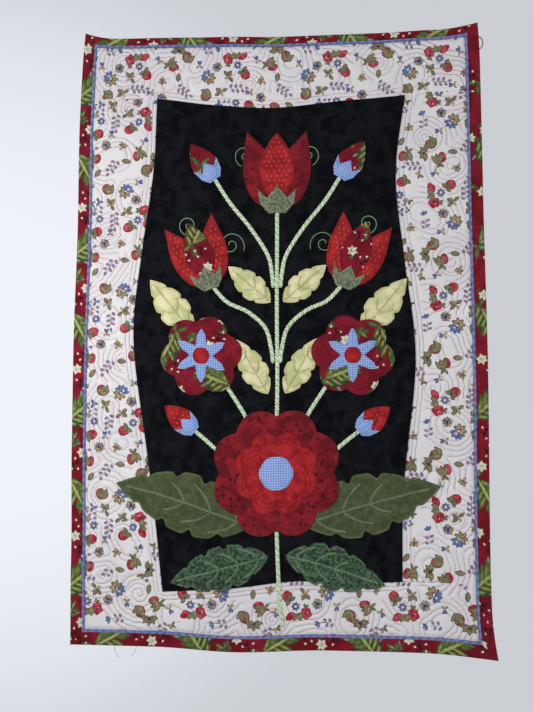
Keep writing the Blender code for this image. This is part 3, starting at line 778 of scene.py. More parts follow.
SEWING = {
    "olive_thread": ((0.30, 0.38, 0.12), (0.44, 0.52, 0.22)),
    "rose_thread": ((0.30, 0.13, 0.18), (0.42, 0.21, 0.28)),
    "blue_thread": ((0.085, 0.17, 0.42), (0.19, 0.32, 0.60), 26.0, (0.17, 0.185, 0.42), (0.28, 0.29, 0.55)),
    "green_thread": ((0.11, 0.26, 0.095), (0.25, 0.45, 0.20)),
    "pale_thread": ((0.30, 0.46, 0.24), (0.46, 0.60, 0.38)),
    "white_thread": ((0.82, 0.84, 0.76), (0.90, 0.90, 0.84), 750.0, (0.40, 0.56, 0.30), (0.60, 0.72, 0.46)),
    "mint_thread": ((0.20, 0.40, 0.14), (0.34, 0.54, 0.25), 750.0, (0.56, 0.68, 0.44), (0.70, 0.80, 0.58)),
    "red_thread": ((0.10, 0.002, 0.006), (0.20, 0.006, 0.012)),
    "gold_thread": ((0.52, 0.42, 0.14), (0.68, 0.58, 0.26)),
    "sky_thread": ((0.16, 0.28, 0.60), (0.34, 0.46, 0.76)),
    "tan_thread": ((0.24, 0.18, 0.07), (0.40, 0.32, 0.14)),
}
MATERIALS = {"printed_cotton": printed_cotton(), "red_print": red_print(), "blue_check": blue_check()}
for cloth_name, look in COTTONS.items():
    MATERIALS[cloth_name] = mottled(cloth_name, *look, **FINISH.get(cloth_name, {}))
for thread_name, look in SEWING.items():
    MATERIALS[thread_name] = thread_material(thread_name, *look)


# The small prints. A sprig is rows of marks about its own middle, in millimetres with v up: ink,
# length, width, the turns of a fan of marks, the u and v of its root, and the shape. A repeat is
# a chart of where each sprig lies and how it is turned, in millimetres with v down.

Fan = namedtuple("Fan", "ink length width turns u v shape", defaults=(0.0, 0.0, "lens"))
Print = namedtuple("Print", "inks sprigs chart repeat scale")
SPRIG_REACH = 34.0
FAR = 3.0


def lens(a, b, length, width):
    """Distance to a pointed oval from (0, 0) to (length, 0)."""
    half, wide = length / 2.0, width / 2.0
    radius = (half * half + wide * wide) / (2.0 * wide)
    return np.hypot(a - half, np.abs(b) + radius - wide) - radius


def jagged(a, b, length, width):
    """A pointed oval with a toothed edge."""
    return lens(a, b, length, width) + 1.1 * np.abs((a / 2.4) % 1.0 - 0.5)


def disc(a, b, length, width):
    return (np.hypot(a / (length / 2.0), b / (width / 2.0)) - 1.0) * min(length, width) / 2.0


def scalloped(a, b, length, petals, dip):
    """Distance to a round flower, length across, with dips between its petals."""
    return np.hypot(a, b) - length / 2.0 * (1.0 - dip + dip * np.cos(petals * np.arctan2(b, a)))


SHAPES = {"lens": lens, "jagged": jagged, "disc": disc}
SHAPES.update(rose=partial(scalloped, dip=0.09), daisy=partial(scalloped, dip=0.18))


def pairs(ink, length, width, stations, lean, gap=0.7, shape="lens"):
    """Leaves either side of a twig that runs along u, the lower one of each pair further on."""
    found = []
    for u in stations:
        found.append((ink, length, width, [lean], u, gap, shape))
        found.append((ink, length, width, [-lean], u + length * 0.4, -gap, shape))
    return found


BORDER_SPRIGS = {
    "flower": [
        ("twig", 11.0, 0.55, [30], -6.0, -6.4), ("red", 11.8, 5, [20], 0, 0.4, "rose"),
        ("green", 4.8, 2.6, [-80, -130], 0.6, -4.2), ("dark", 2.6, 2.2, [0], 0.2, 0.6, "disc"),
        ("dark", 2.4, 0.9, [60], -3.8, 2.2), ("dark", 2.2, 0.9, [-40], 2.6, 2.8),
        ("light", 1.9, 1.4, [0], -1.4, -0.4, "disc"),
    ],
    "berry": [
        ("twig", 9.0, 0.55, [128], -1.4, 5.0), ("red", 9.6, 10.8, [0], 0, -0.6, "disc"),
        ("green", 6.2, 3.2, [196, 240, 285, 330, 12], -0.6, 4.6),
        ("dark", 5.0, 0.7, [238, 288, 326], -0.6, 4.2), ("light", 1.3, 0.7, [80], -2.2, -3.0),
        ("light", 1.3, 0.7, [100], 1.6, -3.4), ("light", 1.2, 0.7, [90], 2.2, -0.4),
    ],
    "tulip_berry": [
        ("twig", 9.0, 0.5, [-42], 3.6, 2.6), ("red", 11.0, 6.6, [30], -3.0, -3.0),
        ("red", 9.0, 5.6, [8], -3.4, -2.2), ("green", 8.0, 4.4, [64, 118, 150], -4.4, -3.2),
        ("dark", 6.0, 0.7, [64, 120], -4.2, -3.0),
    ],
    "leafy": [
        ("green", 9.0, 4.8, [8, 44, 86, 130, 168], 0.0, -2.6, "jagged"),
        ("tan", 5.8, 1.7, [26, 66, 110, 150], 0.0, -2.4),
        ("dark", 6.6, 0.8, [8, 46, 86, 130, 168], 0.0, -2.4), ("dark", 2.8, 2.4, [0], 0, 0.0, "disc"),
    ],
    "leaf_on_berry": [
        ("red", 10.4, 7.6, [12], 1.0, -2.8, "disc"), ("green", 11.6, 5.2, [-12, 16, 42], -6.2, 0.2, "jagged"),
        ("green", 6.6, 3.2, [76, 150, 215], -4.4, -0.6, "jagged"), ("tan", 9.0, 1.3, [-12, 16, 42], -5.4, 0.5),
        ("dark", 4.2, 0.7, [50, -34], -2.4, 1.2), ("dark", 3.6, 0.7, [50, -34], 1.2, 1.6),
    ],
    "berry_by_leaf": [
        ("red", 9.4, 11.0, [-12], -1.6, 0.6, "disc"), ("green", 11.8, 5.2, [44, 70, 98], -1.8, -5.8, "jagged"),
        ("green", 6.4, 3.0, [10, 134], -1.2, -4.8, "jagged"), ("tan", 9.2, 1.3, [44, 70, 98], -1.5, -5.0),
        ("dark", 4.4, 0.7, [104, 22], 0.2, -1.8), ("dark", 3.8, 0.7, [104, 22], 1.6, 1.4),
        ("light", 1.4, 0.8, [100], -4.4, 1.4),
    ],
    "leaf": [
        ("twig", 7.0, 0.5, [-70], 0.6, -4.6), ("green", 9.6, 5.2, [84], 0.0, -4.8),
        ("tan", 7.4, 1.6, [84], 0.2, -4.0), ("dark", 2.8, 0.6, [120, 48], 0.4, -1.4),
    ],
    "tan_sprig": [
        ("twig", 9.0, 0.5, [276]), ("tan", 5.2, 3.0, [92, 196, 330]),
        ("green", 4.4, 1.8, [60, 140, 248], 0.0, -0.2), ("dark", 2.8, 0.7, [92, 200, 330]),
    ],
    "purple_sprig": [
        ("twig", 18.0, 1.0, [0], -10.0), *pairs("purple", 4.8, 3.1, (-8.6, -3.8, 1.0), 58, 0.5),
        ("purple", 4.6, 3.0, [6], 5.8, 0.2),
    ],
    "leaf_pair": [
        ("twig", 10.0, 0.5, [50], -4.6, -4.6), ("green", 6.8, 3.8, [128, 60], -0.4, 0.2),
        ("green", 6.6, 3.6, [-52], 0.4, -0.4), ("tan", 5.0, 2.6, [215, 30]),
        ("dark", 4.6, 0.7, [128, 60, -52]),
    ],
    "big_bloom": [
        ("green", 7.4, 4.2, [4, 52, 214, 262, 312], 1.2, -1.2, "jagged"),
        ("tan", 6.0, 2.4, [4, 52, 214, 262, 312], 1.4, -1.2),
        ("dark", 3.4, 0.7, [28, 238, 288, 340], 1.2, -1.0), ("blue", 7.8, 4.0, [92, 128, 166, 200], 0.0, 0.4),
        ("light", 3.0, 1.2, [110, 150], -0.6, 1.2), ("dark", 3.2, 0.7, [92, 184], 0.0, 0.4),
    ],
    "star_bloom": [
        ("tan", 5.6, 3.2, [0, 72, 144, 216, 288]), ("green", 5.2, 2.6, [36, 108, 252]),
        ("blue", 4.8, 2.6, [180, 324, 70]), ("dark", 2.6, 2.2, [0], 0, 0, "disc"),
        ("dark", 4.0, 0.6, [0, 144, 216, 288]),
    ],
    "tiny": [
        ("twig", 6.0, 0.5, [262], 0.0, -1.0), ("blue", 5.4, 2.4, [72, 112]), ("tan", 4.6, 2.2, [222, 318]),
    ],
    "blue_trio": [
        ("twig", 10.0, 0.5, [292]), ("blue", 4.8, 2.8, [90, 205, 335], 0.0, 0.5),
        ("light", 1.6, 0.7, [90, 205, 335], 0.0, 0.9), ("blue", 3.2, 2.0, [20, 240], 2.6, -5.4),
        *pairs("purple", 4.2, 2.7, (4.4, 8.8), 58, 1.0), ("tan", 4.6, 2.2, [275], 0.0, -2.4),
    ],
    "daisy": [
        ("blue", 9.0, 7, [0], 0, 0, "daisy"), ("dark", 3.8, 3.8, [0], 0, 0, "disc"),
        ("light", 2.8, 2.6, [0], 0, 0, "disc"),
    ],
    "purple_blue": [
        ("twig", 15.0, 0.9, [0], -9.0), *pairs("purple", 4.4, 2.8, (-8.0, -3.2), 58, 0.5),
        ("blue", 5.0, 2.4, [-20, 24, 68], 4.6, 0.6),
    ],
    "small_tan": [
        ("twig", 7.0, 0.5, [200], -3.0, -2.0), ("tan", 5.0, 2.6, [15, 70]), ("green", 4.6, 2.4, [150, 230]),
    ],
}
BORDER_CHART = {
    "flower": [(41.1, 17.6, 0)],
    "tulip_berry": [(57.5, 13.5, 0)],
    "daisy": [(53.4, 25.8, 0), (52.0, 75.0, 0)],
    "berry": [(62.8, 37.0, 28), (69.0, 79.0, 200)],
    "leafy": [(104.2, 5.5, 0)],
    "leaf_on_berry": [(97.2, 24.6, 0), (101.0, 83.0, 150)],
    "berry_by_leaf": [(117.3, 15.1, 0), (13.0, 64.0, 120)],
    "leaf": [(104.2, 41.4, 0), (120.0, 79.0, 60)],
    "tan_sprig": [(84.5, 46.3, 0), (10.0, 88.0, 30)],
    "purple_sprig": [(55.0, 56.1, 0), (113.2, 60.2, -35), (88.0, 91.0, 90)],
    "leaf_pair": [(41.9, 40.6, 0), (33.0, 61.0, 80)],
    "big_bloom": [(15.7, 41.4, 0)],
    "star_bloom": [(27.1, 28.3, 0), (84.0, 68.0, 70)],
    "tiny": [(4.2, 25.8, 0), (70.0, 61.0, 90), (79.0, 19.0, 30)],
    "purple_blue": [(18.9, 6.1, 0)],
    "small_tan": [(76.3, 0.4, 0), (44.0, 86.0, 40)],
    "blue_trio": [(30.0, 77.0, 0)],
}
BORDER_INKS = ("tan", "red", "green", "blue", "purple", "dark", "light", "twig")
BORDER_PRINT = Print(BORDER_INKS, BORDER_SPRIGS, BORDER_CHART, (128.0, 100.0), 1.30)

RED_SPRIGS = {
    "spray": [
        ("leaf", 33.0, 5.0, [0], -16.0, 0.0, "jagged"),
        *pairs("leaf", 15.0, 4.8, (-14.0, -9.0, -4.0, 1.0), 54, 0.0, "jagged"),
        *pairs("leaf", 11.0, 4.2, (-17.0, 6.0, 10.0), 38, 0.0, "jagged"),
        ("leaf", 12.0, 4.6, [140, 222], -14.0, 0.0, "jagged"), ("shade", 9.0, 4.0, [54], -9.6, 7.2),
        ("shade", 10.0, 4.2, [54], 0.4, 6.8), ("shade", 10.0, 4.2, [-54], -6.6, -6.6),
        ("tip", 6.0, 2.0, [66], -6.0, 9.4), ("tip", 6.0, 2.0, [-50], 9.6, -8.4),
        ("tip", 6.0, 2.0, [10], 13.0, 0.6), ("vein", 30.0, 0.9, [0], -15.0),
        *pairs("vein", 10.0, 0.5, (-14.0, -9.0, -4.0, 1.0), 54, 0.0), ("dark", 12.0, 1.0, [190], -16.0),
    ],
    "star": [
        ("cream", 5.2, 1.9, [4, 62, 128, 196, 250, 306]), ("cream", 3.8, 1.6, [32, 96, 162, 222, 280]),
        ("heart", 2.8, 0.9, [12, 84, 156, 228, 300]), ("leaf", 5.0, 2.4, [70, 110], 1.0, 3.2, "jagged"),
    ],
    "buds": [
        ("cream", 2.8, 1.7, [30], -5.4, 1.6), ("cream", 2.8, 1.7, [100], 1.0, 3.6),
        ("cream", 2.8, 1.7, [-50], 2.2, -2.8), ("dark", 8.0, 0.8, [20, 140, 260, 320], 0.0, 0.4),
        ("dark", 4.6, 2.0, [350, 200], 0.6, 0.2), ("dark", 3.6, 0.7, [60, 200], -3.0, 3.0),
    ],
    "leaflet": [
        *pairs("leaf", 8.0, 3.6, (-5.0, -1.0), 48, 0.0, "jagged"), ("leaf", 9.0, 3.8, [0], 1.0, 0.0, "jagged"),
        ("vein", 12.0, 0.6, [0], -4.0), ("tip", 4.0, 1.4, [48], -0.6, 4.4), ("dark", 8.0, 1.0, [186], -3.0),
    ],
}
RED_CHART = {
    "spray": [(17.0, 20.0, 52), (124.0, 22.0, 152), (66.0, 70.0, 228), (172.0, 68.0, 330)],
    "star": [
        (70.0, 23.0, 0), (172.0, 14.0, 80), (12.0, 60.0, 35), (140.0, 62.0, 50), (101.0, 91.0, 20),
        (150.0, 44.0, 10),
    ],
    "buds": [
        (52.0, 17.0, 0), (88.0, 15.0, 130), (158.0, 24.0, 60), (100.0, 66.0, 200), (28.0, 74.0, 30),
        (122.0, 72.0, 90), (96.0, 42.0, 70), (72.0, 44.0, 250), (10.0, 90.0, 300),
    ],
    "leaflet": [(186.0, 27.0, 25), (34.0, 93.0, 70)],
}
RED_INKS = ("leaf", "vein", "tip", "cream", "dark", "heart", "shade")
RED_PRINT = Print(RED_INKS, RED_SPRIGS, RED_CHART, (206.0, 96.0), 1.45)


def turned(x, y, degrees):
    """Coordinates in axes that are turned by some degrees."""
    lean = math.radians(degrees)
    return x * math.cos(lean) + y * math.sin(lean), y * math.cos(lean) - x * math.sin(lean)


def plain(u, v):
    """What a plain cloth's material reads at its points: their places on the cut cloth."""
    return {"cut": joined(np.ravel(u), np.ravel(v), 0.0)}


def printed(u, v, cloth):
    """What a printed cloth's material reads at cloth points (u, v) in metres, v down: their
    places, and the distance to each ink in millimetres."""
    layers = plain(u, v)
    u, v = np.ravel(u) * 1000.0, np.ravel(v) * 1000.0
    wide, tall = cloth.repeat
    found = {ink: np.full(u.shape, FAR) for ink in cloth.inks}
    spots = [(sprig, *spot) for sprig, places in cloth.chart.items() for spot in places]
    for sprig, at_u, at_v, turn in spots:
        du = (u - at_u + wide / 2.0) % wide - wide / 2.0
        dv = -((v - at_v + tall / 2.0) % tall - tall / 2.0)
        near = np.nonzero((np.abs(du) < SPRIG_REACH) & (np.abs(dv) < SPRIG_REACH))[0]
        x, y = turned(du[near], dv[near], turn)
        x, y = x / cloth.scale, y / cloth.scale
        for fan in [Fan(*row) for row in cloth.sprigs[sprig]]:
            for mark_turn in fan.turns:
                a, b = turned(x - fan.u, y - fan.v, mark_turn)
                away = SHAPES[fan.shape](a, b, fan.length, fan.width) * cloth.scale
                found[fan.ink][near] = np.minimum(found[fan.ink][near], away)
    inks = [*found.values(), 0.0 * u, 0.0 * u]
    for k, key in enumerate(("print_a", "print_b", "print_c")):
        layers[key] = joined(*inks[3 * k : 3 * k + 3])
    return layers


# The camera, the light and the floor

CAMERA_AT = Vector((0.0531, -0.9568, -0.4770))
# Where the backdrop's painted pool of light lies, and how strong the backdrop is away from it and at its
# middle
PAINTED_LIGHT_AT = Vector((-0.36, 0.0, -0.42))
SKY_STRENGTH, PAINTED_LIGHT_STRENGTH = 0.92, 1.34
LIGHTS = {
    "key": ((-0.46, -0.46, -0.34), (-0.05, 0.0, -0.36), 0.26, 1.65, (1.0, 0.97, 0.95)),
    "fill": ((0.62, -0.85, -0.42), (0.05, 0.0, -0.40), 0.40, 1.6, (1.0, 0.96, 0.93)),
    "back_fill": ((-0.6, 1.5, 0.3), (0.0, 0.0, -0.40), 1.0, 9.0, (1.0, 0.99, 0.97)),
}
FLOOR_LEVEL = -1.95
FLOOR_CORNERS = [(-4.0, -4.5), (4.0, -4.5), (4.0, 2.8), (-4.0, 2.8)]


def add_object(name, data):
    made = bpy.data.objects.new(name, data)
    bpy.context.scene.collection.objects.link(made)
    return made


def add_camera():
    """The photograph's camera: straight on, a little to the right and below the middle."""
    ahead = Vector((-0.06988, 0.99505, 0.07064)).normalized()
    right = ahead.cross(Vector((0.00181, -0.07069, 0.99749))).normalized()
    data = bpy.data.cameras.new("camera")
    data.sensor_width = 36.0
    data.lens = 38.91
    camera = add_object("camera", data)
    facing = Matrix((right, right.cross(ahead), -ahead)).transposed()
    camera.matrix_world = Matrix.Translation(CAMERA_AT) @ facing.to_4x4()
    bpy.context.scene.camera = camera


def add_studio():
    """A pale plain floor below the hanging, a pale backdrop all round with a painted pool of light on it to
    the camera's left, and soft light.
    """
    world = bpy.data.worlds.new("backdrop")
    world.use_nodes = True
    tree = world.node_tree
    # Painted light: the backdrop grows brighter towards one direction, to the camera's left, as a pool of
    # light on it; this also lights the quilt a little
    way = add_node(tree, "ShaderNodeTexCoord", {}, {}).outputs["Generated"]
    aim = (PAINTED_LIGHT_AT - CAMERA_AT).normalized()
    near = add_node(tree, "ShaderNodeVectorMath", {0: way, 1: aim}, {"operation": "DOT_PRODUCT"})
    spans = {"From Min": 0.86, "From Max": 1.0, "To Min": SKY_STRENGTH, "To Max": PAINTED_LIGHT_STRENGTH}
    spans["Value"] = near.outputs["Value"]
    painted_light = add_node(tree, "ShaderNodeMapRange", spans, {"interpolation_type": "SMOOTHSTEP"})
    sky = tree.nodes["Background"]
    put(tree, sky.inputs["Strength"], painted_light.outputs["Result"])
    put(tree, sky.inputs["Color"], (0.650, 0.668, 0.712, 1.0))
    bpy.context.scene.world = world
    bpy.context.scene.view_settings.view_transform = "Standard"
    for name, (spot, target, size, power, tint) in LIGHTS.items():
        data = bpy.data.lights.new(name, "AREA")
        data.size = size
        data.energy = power
        data.color = tint
        light = add_object(name, data)
        light.location = spot
        light.rotation_euler = (Vector(target) - Vector(spot)).to_track_quat("-Z", "Y").to_euler()
    mesh = bpy.data.meshes.new("floor")
    mesh.from_pydata([(x, y, FLOOR_LEVEL) for x, y in FLOOR_CORNERS], [], [(0, 1, 2, 3)])
    m = Cotton("floor", 0.9, 0.0)
    m.set("Base Color", m.mix(m.noise(3.0), (0.70, 0.70, 0.70), (0.74, 0.74, 0.74)))
    m.set("Roughness", m.band(m.noise(8.0), 0.3, 0.7, 0.85, 0.92))
    mesh.materials.append(m.material)
    add_object("floor", mesh)


# The appliqué: each motif is an outline about its root, u across and v up, the lines sewn on it,
# and whether those are sewn double

Shape = namedtuple("Shape", "outline lines double", defaults=(False,))
ECHO_INSETS = (0.0075, 0.0135)
SEWN_STEP = 0.002


def rays(count, start, end):
    """Lines from one distance to another, in even directions from the middle."""
    found = []
    for k in range(count):
        way = 2.0 * math.pi * k / count
        reach = np.array([start, end])[:, None]
        found.append(evenly(reach * [math.sin(way), math.cos(way)], SEWN_STEP))
    return found


def both_halves(right):
    """A whole outline from its right half, which starts and ends in the middle."""
    return np.vstack([right, (right * [-1, 1])[-2:0:-1]])


def rosette(radius, lobes, dip, creases=None):
    """A round flower head with scalloped lobes, sewn from each notch towards the middle."""
    turn = np.linspace(0.0, 2.0 * math.pi, 40 * lobes, endpoint=False)
    r = radius * (1.0 - dip * (1.0 - np.abs(np.sin(lobes * turn / 2.0))))
    outline = joined(r * np.sin(turn), r * np.cos(turn))
    if not creases:
        return Shape(outline, [])
    echoes = [evenly(outline * (1.0 - inset / radius), SEWN_STEP, True) for inset in ECHO_INSETS]
    return Shape(outline, echoes + rays(lobes, *creases))


def star(radius, arms, inner):
    """A flower head with pointed petals, each drawn in towards its root and sewn down its middle."""
    points = []
    for i in range(arms * 4):
        turn = 2.0 * math.pi * i / (arms * 4) + math.radians((0.0, -5.0, 0.0, 5.0)[i % 4])
        r = radius * (1.0, 0.80, inner, 0.80)[i % 4]
        points.append((r * math.sin(turn), r * math.cos(turn)))
    return Shape(np.array(points), rays(arms, 0.38 * radius, 0.86 * radius))


def petal(length, width, fullness, seeds=False):
    """A pointed oval from its root, sewn with two curved lines inside its edges."""
    t = np.linspace(0.0, 1.0, 40)
    half = width / 2.0 * np.sin(math.pi * t ** (1.0 / fullness)) ** 0.8
    lines = [joined(half * share, length * t)[9:34] for share in (-0.34, 0.34)]
    return Shape(both_halves(joined(half, length * t)), [] if seeds else lines)


def leaf(length, width, teeth, bend):
    """A lobed leaf on a bent midrib, with double rows of sewing for its veins."""
    t = np.linspace(0.0, 1.0, teeth * 18 + 1)[1:-1]
    notch = np.abs((t * teeth + 0.5) % 1.0 - 0.5)
    lobe = 1.0 - 0.20 * np.exp(-((notch / 0.13) ** 2))
    half = width / 2.0 * np.sin(math.pi * t**0.85) ** 0.9 * lobe
    rib = bend * t * t
    left = joined(rib - half, length * t)[::-1]
    outline = np.vstack([[(0.0, 0.0)], joined(rib + half, length * t), [(bend, length)], left])
    run = np.linspace(0.03, 0.93, 30)
    lines = [joined(bend * run**2, length * run)]
    for k in range(1, teeth):
        root = (k - 0.55) / teeth
        reach = width / 2.0 * math.sin(math.pi * min(1.0, root + 0.25) ** 0.85) * 0.70
        start = np.array([bend * root**2, length * root])
        for hand in (-1, 1) if reach > 0.007 else ():
            end = start + [hand * reach, reach * 1.25]
            middle = (start + end) / 2.0 + [hand * reach * 0.10, -reach * 0.08]
            vein = curve_through([start, middle, end], 0.001)
            lines.append(vein[np.linalg.norm(vein - start, axis=1) > 0.0020])
    return Shape(outline, lines, True)


def tulip_cup(height, width):
    """The two outer petals of a tulip in one piece, sewn along the middle of each."""
    half = [(0.0, 0.0), (0.16, 0.005), (0.34, 0.10), (0.46, 0.30), (0.50, 0.55), (0.47, 0.80)]
    half += [(0.44, 1.00)]
    inner = [(0.44, 1.00), (0.26, 0.84), (0.10, 0.70), (0.0, 0.66)]
    scale = [width, height]
    outer = curve_through(np.array(half) * scale, 0.0015)
    notch = curve_through(np.array(inner) * scale, 0.0015)
    vein = curve_through(np.array([(0.12, 0.22), (0.30, 0.50), (0.38, 0.84)]) * scale, SEWN_STEP)
    return Shape(both_halves(np.vstack([outer[:-1], notch])), [vein, vein * [-1, 1]])


def calyx(height, width):
    """The green cup under a flower, with three points, sewn up each point."""
    scale = [width, height]
    right = np.array([(0.22, 0.00), (0.42, 0.34), (0.50, 0.92), (0.26, 0.58)]) * scale
    vein = np.array([(0.16, 0.18), (0.40, 0.66)]) * scale
    middle = np.array([(0.0, 0.14), (0.0, 0.78)]) * scale
    lines = [evenly(line, SEWN_STEP) for line in (vein, vein * [-1, 1], middle)]
    return Shape(np.vstack([right, [(0.0, height)], (right * [-1, 1])[::-1]]), lines)


Motif = namedtuple("Motif", "name shape u v lean cloth seeds", defaults=(False,))
MOTIFS = [
    Motif("base_leaf", leaf(0.172, 0.076, 5, 0.010), 0.032, -0.228, 71.0, "leaf_green"),
    Motif("lower_leaf", leaf(0.126, 0.054, 5, 0.006), 0.010, -0.264, 104.0, "deep_green"),
    Motif("middle_leaf", leaf(0.078, 0.034, 4, 0.0), 0.0105, -0.068, 30.0, "pale_leaf"),
    Motif("upper_leaf", leaf(0.070, 0.033, 4, 0.0), 0.0078, 0.046, 50.0, "pale_leaf"),
    Motif("outer_leaf", leaf(0.086, 0.040, 4, 0.0), 0.104, 0.006, 40.0, "pale_leaf"),
    Motif("rosette_outer", rosette(0.080, 8, 0.13, (0.054, 0.066)), 0.0, -0.165, 0.0, "crimson_batik"),
    Motif("rosette_inner", rosette(0.052, 8, 0.16, (0.024, 0.040)), 0.0, -0.165, 0.0, "bright_red"),
    Motif("rosette_centre", rosette(0.021, 6, 0.05), 0.0, -0.165, 0.0, "blue_check"),
    Motif("side_flower", rosette(0.051, 6, 0.17, (0.026, 0.039)), 0.093, -0.022, 10.0, "red_print"),
    Motif("side_flower_star", star(0.034, 6, 0.42), 0.093, -0.022, 0.0, "blue_check"),
    Motif("side_flower_eye", rosette(0.0105, 6, 0.04), 0.093, -0.022, 0.0, "bright_red"),
    Motif("top_tulip_cup", tulip_cup(0.098, 0.086), 0.0, 0.165, 0.0, "crimson_batik"),
    Motif("top_tulip_petal", petal(0.088, 0.044, 1.15, True), 0.0, 0.173, 0.0, "bright_red", True),
    Motif("top_tulip_calyx", calyx(0.034, 0.050), 0.0, 0.158, 0.0, "sage"),
    Motif("side_tulip_cup", tulip_cup(0.084, 0.072), 0.084, 0.068, 20.0, "bright_red", True),
    Motif("side_tulip_petal", petal(0.074, 0.036, 1.15), 0.0862, 0.0746, 20.0, "red_print"),
    Motif("side_tulip_calyx", calyx(0.029, 0.042), 0.0816, 0.0614, 20.0, "sage"),
    Motif("high_bud", petal(0.052, 0.034, 1.5), 0.080, 0.204, 35.0, "red_print"),
    Motif("high_bud_calyx", calyx(0.026, 0.035), 0.0778, 0.2008, 35.0, "blue_check"),
    Motif("low_bud", petal(0.044, 0.030, 1.5, True), 0.103, -0.113, 52.0, "bright_red", True),
    Motif("low_bud_calyx", calyx(0.023, 0.031), 0.0995, -0.1157, 52.0, "blue_check"),
]
LEAVES = 5
EDGE_INSETS = (0.0004, 0.0009, 0.0018, 0.0027, 0.0036)
EDGE_STITCH = 0.0018
VEIN_APART = 0.0007
EDGE_THREAD = {
    "leaf_green": "green_thread",
    "deep_green": "green_thread",
    "pale_leaf": "olive_thread",
    "sage": "pale_thread",
    "blue_check": "sky_thread",
    "bright_red": "red_thread",
    "crimson_batik": "red_thread",
    "red_print": "red_thread",
}
VEIN_THREAD = {**EDGE_THREAD, "leaf_green": "pale_thread", "deep_green": "pale_thread"}

MAIN_STEM = [(0.006, -0.349), (0.002, -0.290), (-0.001, -0.180), (0.001, -0.060), (0.0, 0.060), (0.0, 0.168)]
BRANCHES = {
    "flower_stem": [(0.034, -0.102), (0.046, -0.082), (0.062, -0.058)],
    "tulip_stem": [
        (0.0044, -0.030), (0.0062, -0.014), (0.014, 0.014), (0.036, 0.034), (0.062, 0.046), (0.083, 0.068),
    ],
    "high_bud_stem": [
        (0.0044, 0.064), (0.0062, 0.082), (0.012, 0.106), (0.034, 0.140), (0.060, 0.172), (0.0834, 0.2089),
    ],
    "low_bud_stem": [(0.072, -0.138), (0.088, -0.1245), (0.1077, -0.1093)],
}


def place(points, motif, mirror):
    """Points in a motif's own axes, set on the panel; mirror is -1 for the left-hand copy."""
    lean = math.radians(motif.lean)
    u, v = np.asarray(points)[..., 0], np.asarray(points)[..., 1]
    x = motif.u + u * math.cos(lean) + v * math.sin(lean)
    z = motif.v - u * math.sin(lean) + v * math.cos(lean)
    return joined(PANEL_CENTRE[0] + mirror * x, PANEL_CENTRE[1] + z)


def copies(motifs):
    """Each motif with the names and mirrors of its one or two copies."""
    for motif in motifs:
        if motif.u == 0.0:
            yield motif, motif.name, 1
            continue
        yield motif, f"{motif.name}_right", 1
        yield motif, f"{motif.name}_left", -1


def thinned(points, spacing):
    """The points in order, without those nearer than spacing to one already kept."""
    kept, cells = [], {}
    for p in points:
        i, j = int(p[0] // spacing), int(p[1] // spacing)
        near = [q for a in (-1, 0, 1) for b in (-1, 0, 1) for q in cells.get((i + a, j + b), ())]
        if all((p[0] - q[0]) ** 2 + (p[1] - q[1]) ** 2 >= spacing**2 for q in near):
            kept.append(p)
            cells.setdefault((i, j), []).append(p)
    return kept


def grid_inside(ring, step, margin):
    """Staggered points inside a ring, no nearer to it than margin."""
    (left, low), (right, high) = ring.min(axis=0), ring.max(axis=0)
    x, z = np.meshgrid(np.arange(left, right, step), np.arange(low, high, step))
    x[1::2] += step / 2.0
    x, z = x.ravel(), z.ravel()
    keep = signed_distance(ring, x, z) < -margin
    return joined(x[keep], z[keep])


def edge_profile(inset):
    """How high a sewn-down cloth stands at a distance in from its edge."""
    t = np.clip(inset / 0.0011, 0.0, 1.0)
    rise = 0.00012 + 0.00095 * np.sqrt(1.0 - (1.0 - t) ** 2)
    groove = 0.00034 * np.exp(-(((inset - EDGE_STITCH) / 0.0006) ** 2))
    return rise - groove + 0.0007 * smooth(inset / 0.010)


def motif_mesh(shape):
    """A motif's flat mesh in its own axes: the points of both sides, its faces, and how far in
    each point lies."""
    ring = evenly(shape.outline, RING_STEP, closed=True)
    inner = []
    for line in shape.lines:
        line = evenly(line, FILL_STEP)
        out = beside(line) * 0.0012
        inner += [*line, *(line + out), *(line - out)]
    if inner:
        inner = list(np.array(inner)[signed_distance(ring, *np.array(inner).T) < -0.003])
    for inset in EDGE_INSETS:
        moved, kept = offset(ring, -inset)
        inner += list(moved[kept])
    inner += list(grid_inside(ring, FILL_STEP, EDGE_INSETS[-1] + 0.0006))
    verts, faces = triangulated(ring, thinned(inner, 0.00045))
    under, under_faces = triangulated(ring, list(grid_inside(ring, 0.010, 0.004)))
    count = len(verts)
    solid = faces.tolist() + (under_faces[:, ::-1] + count).tolist()
    below = {tuple(np.round(v, 7)): i + count for i, v in enumerate(under)}
    used = {(f[i], f[(i + 1) % 3]) for f in faces.tolist() for i in range(3)}
    for a, b in sorted(used):
        if (b, a) not in used:
            solid.append([b, a, below[tuple(np.round(verts[a], 7))], below[tuple(np.round(verts[b], 7))]])
    return ring, verts, under, solid, np.maximum(-signed_distance(ring, *verts.T), 0.0)


def line_dip(shape, verts):
    """How far the sewn lines pull the cloth down at each point."""
    dip = np.zeros(len(verts))
    for line in shape.lines:
        for p in evenly(line, 0.0012):
            away = np.hypot(verts[:, 0] - p[0], verts[:, 1] - p[1])
            dip = np.maximum(dip, np.exp(-((away / 0.0009) ** 2)))
    return dip * 0.00045


def sewn_lines(motif, mirror):
    """The lines sewn on a motif, flat: its edge, and its veins, doubled if they are."""
    edge = offset_runs(FLAT_MESHES[motif.name][0], -EDGE_STITCH)
    veins = motif.shape.lines
    if motif.shape.double:
        veins = [line + hand * VEIN_APART * beside(line) for line in veins for hand in (1, -1)]
    return [[place(line, motif, mirror) for line in lines] for lines in (edge, veins)]


# Building

add_camera()
add_studio()

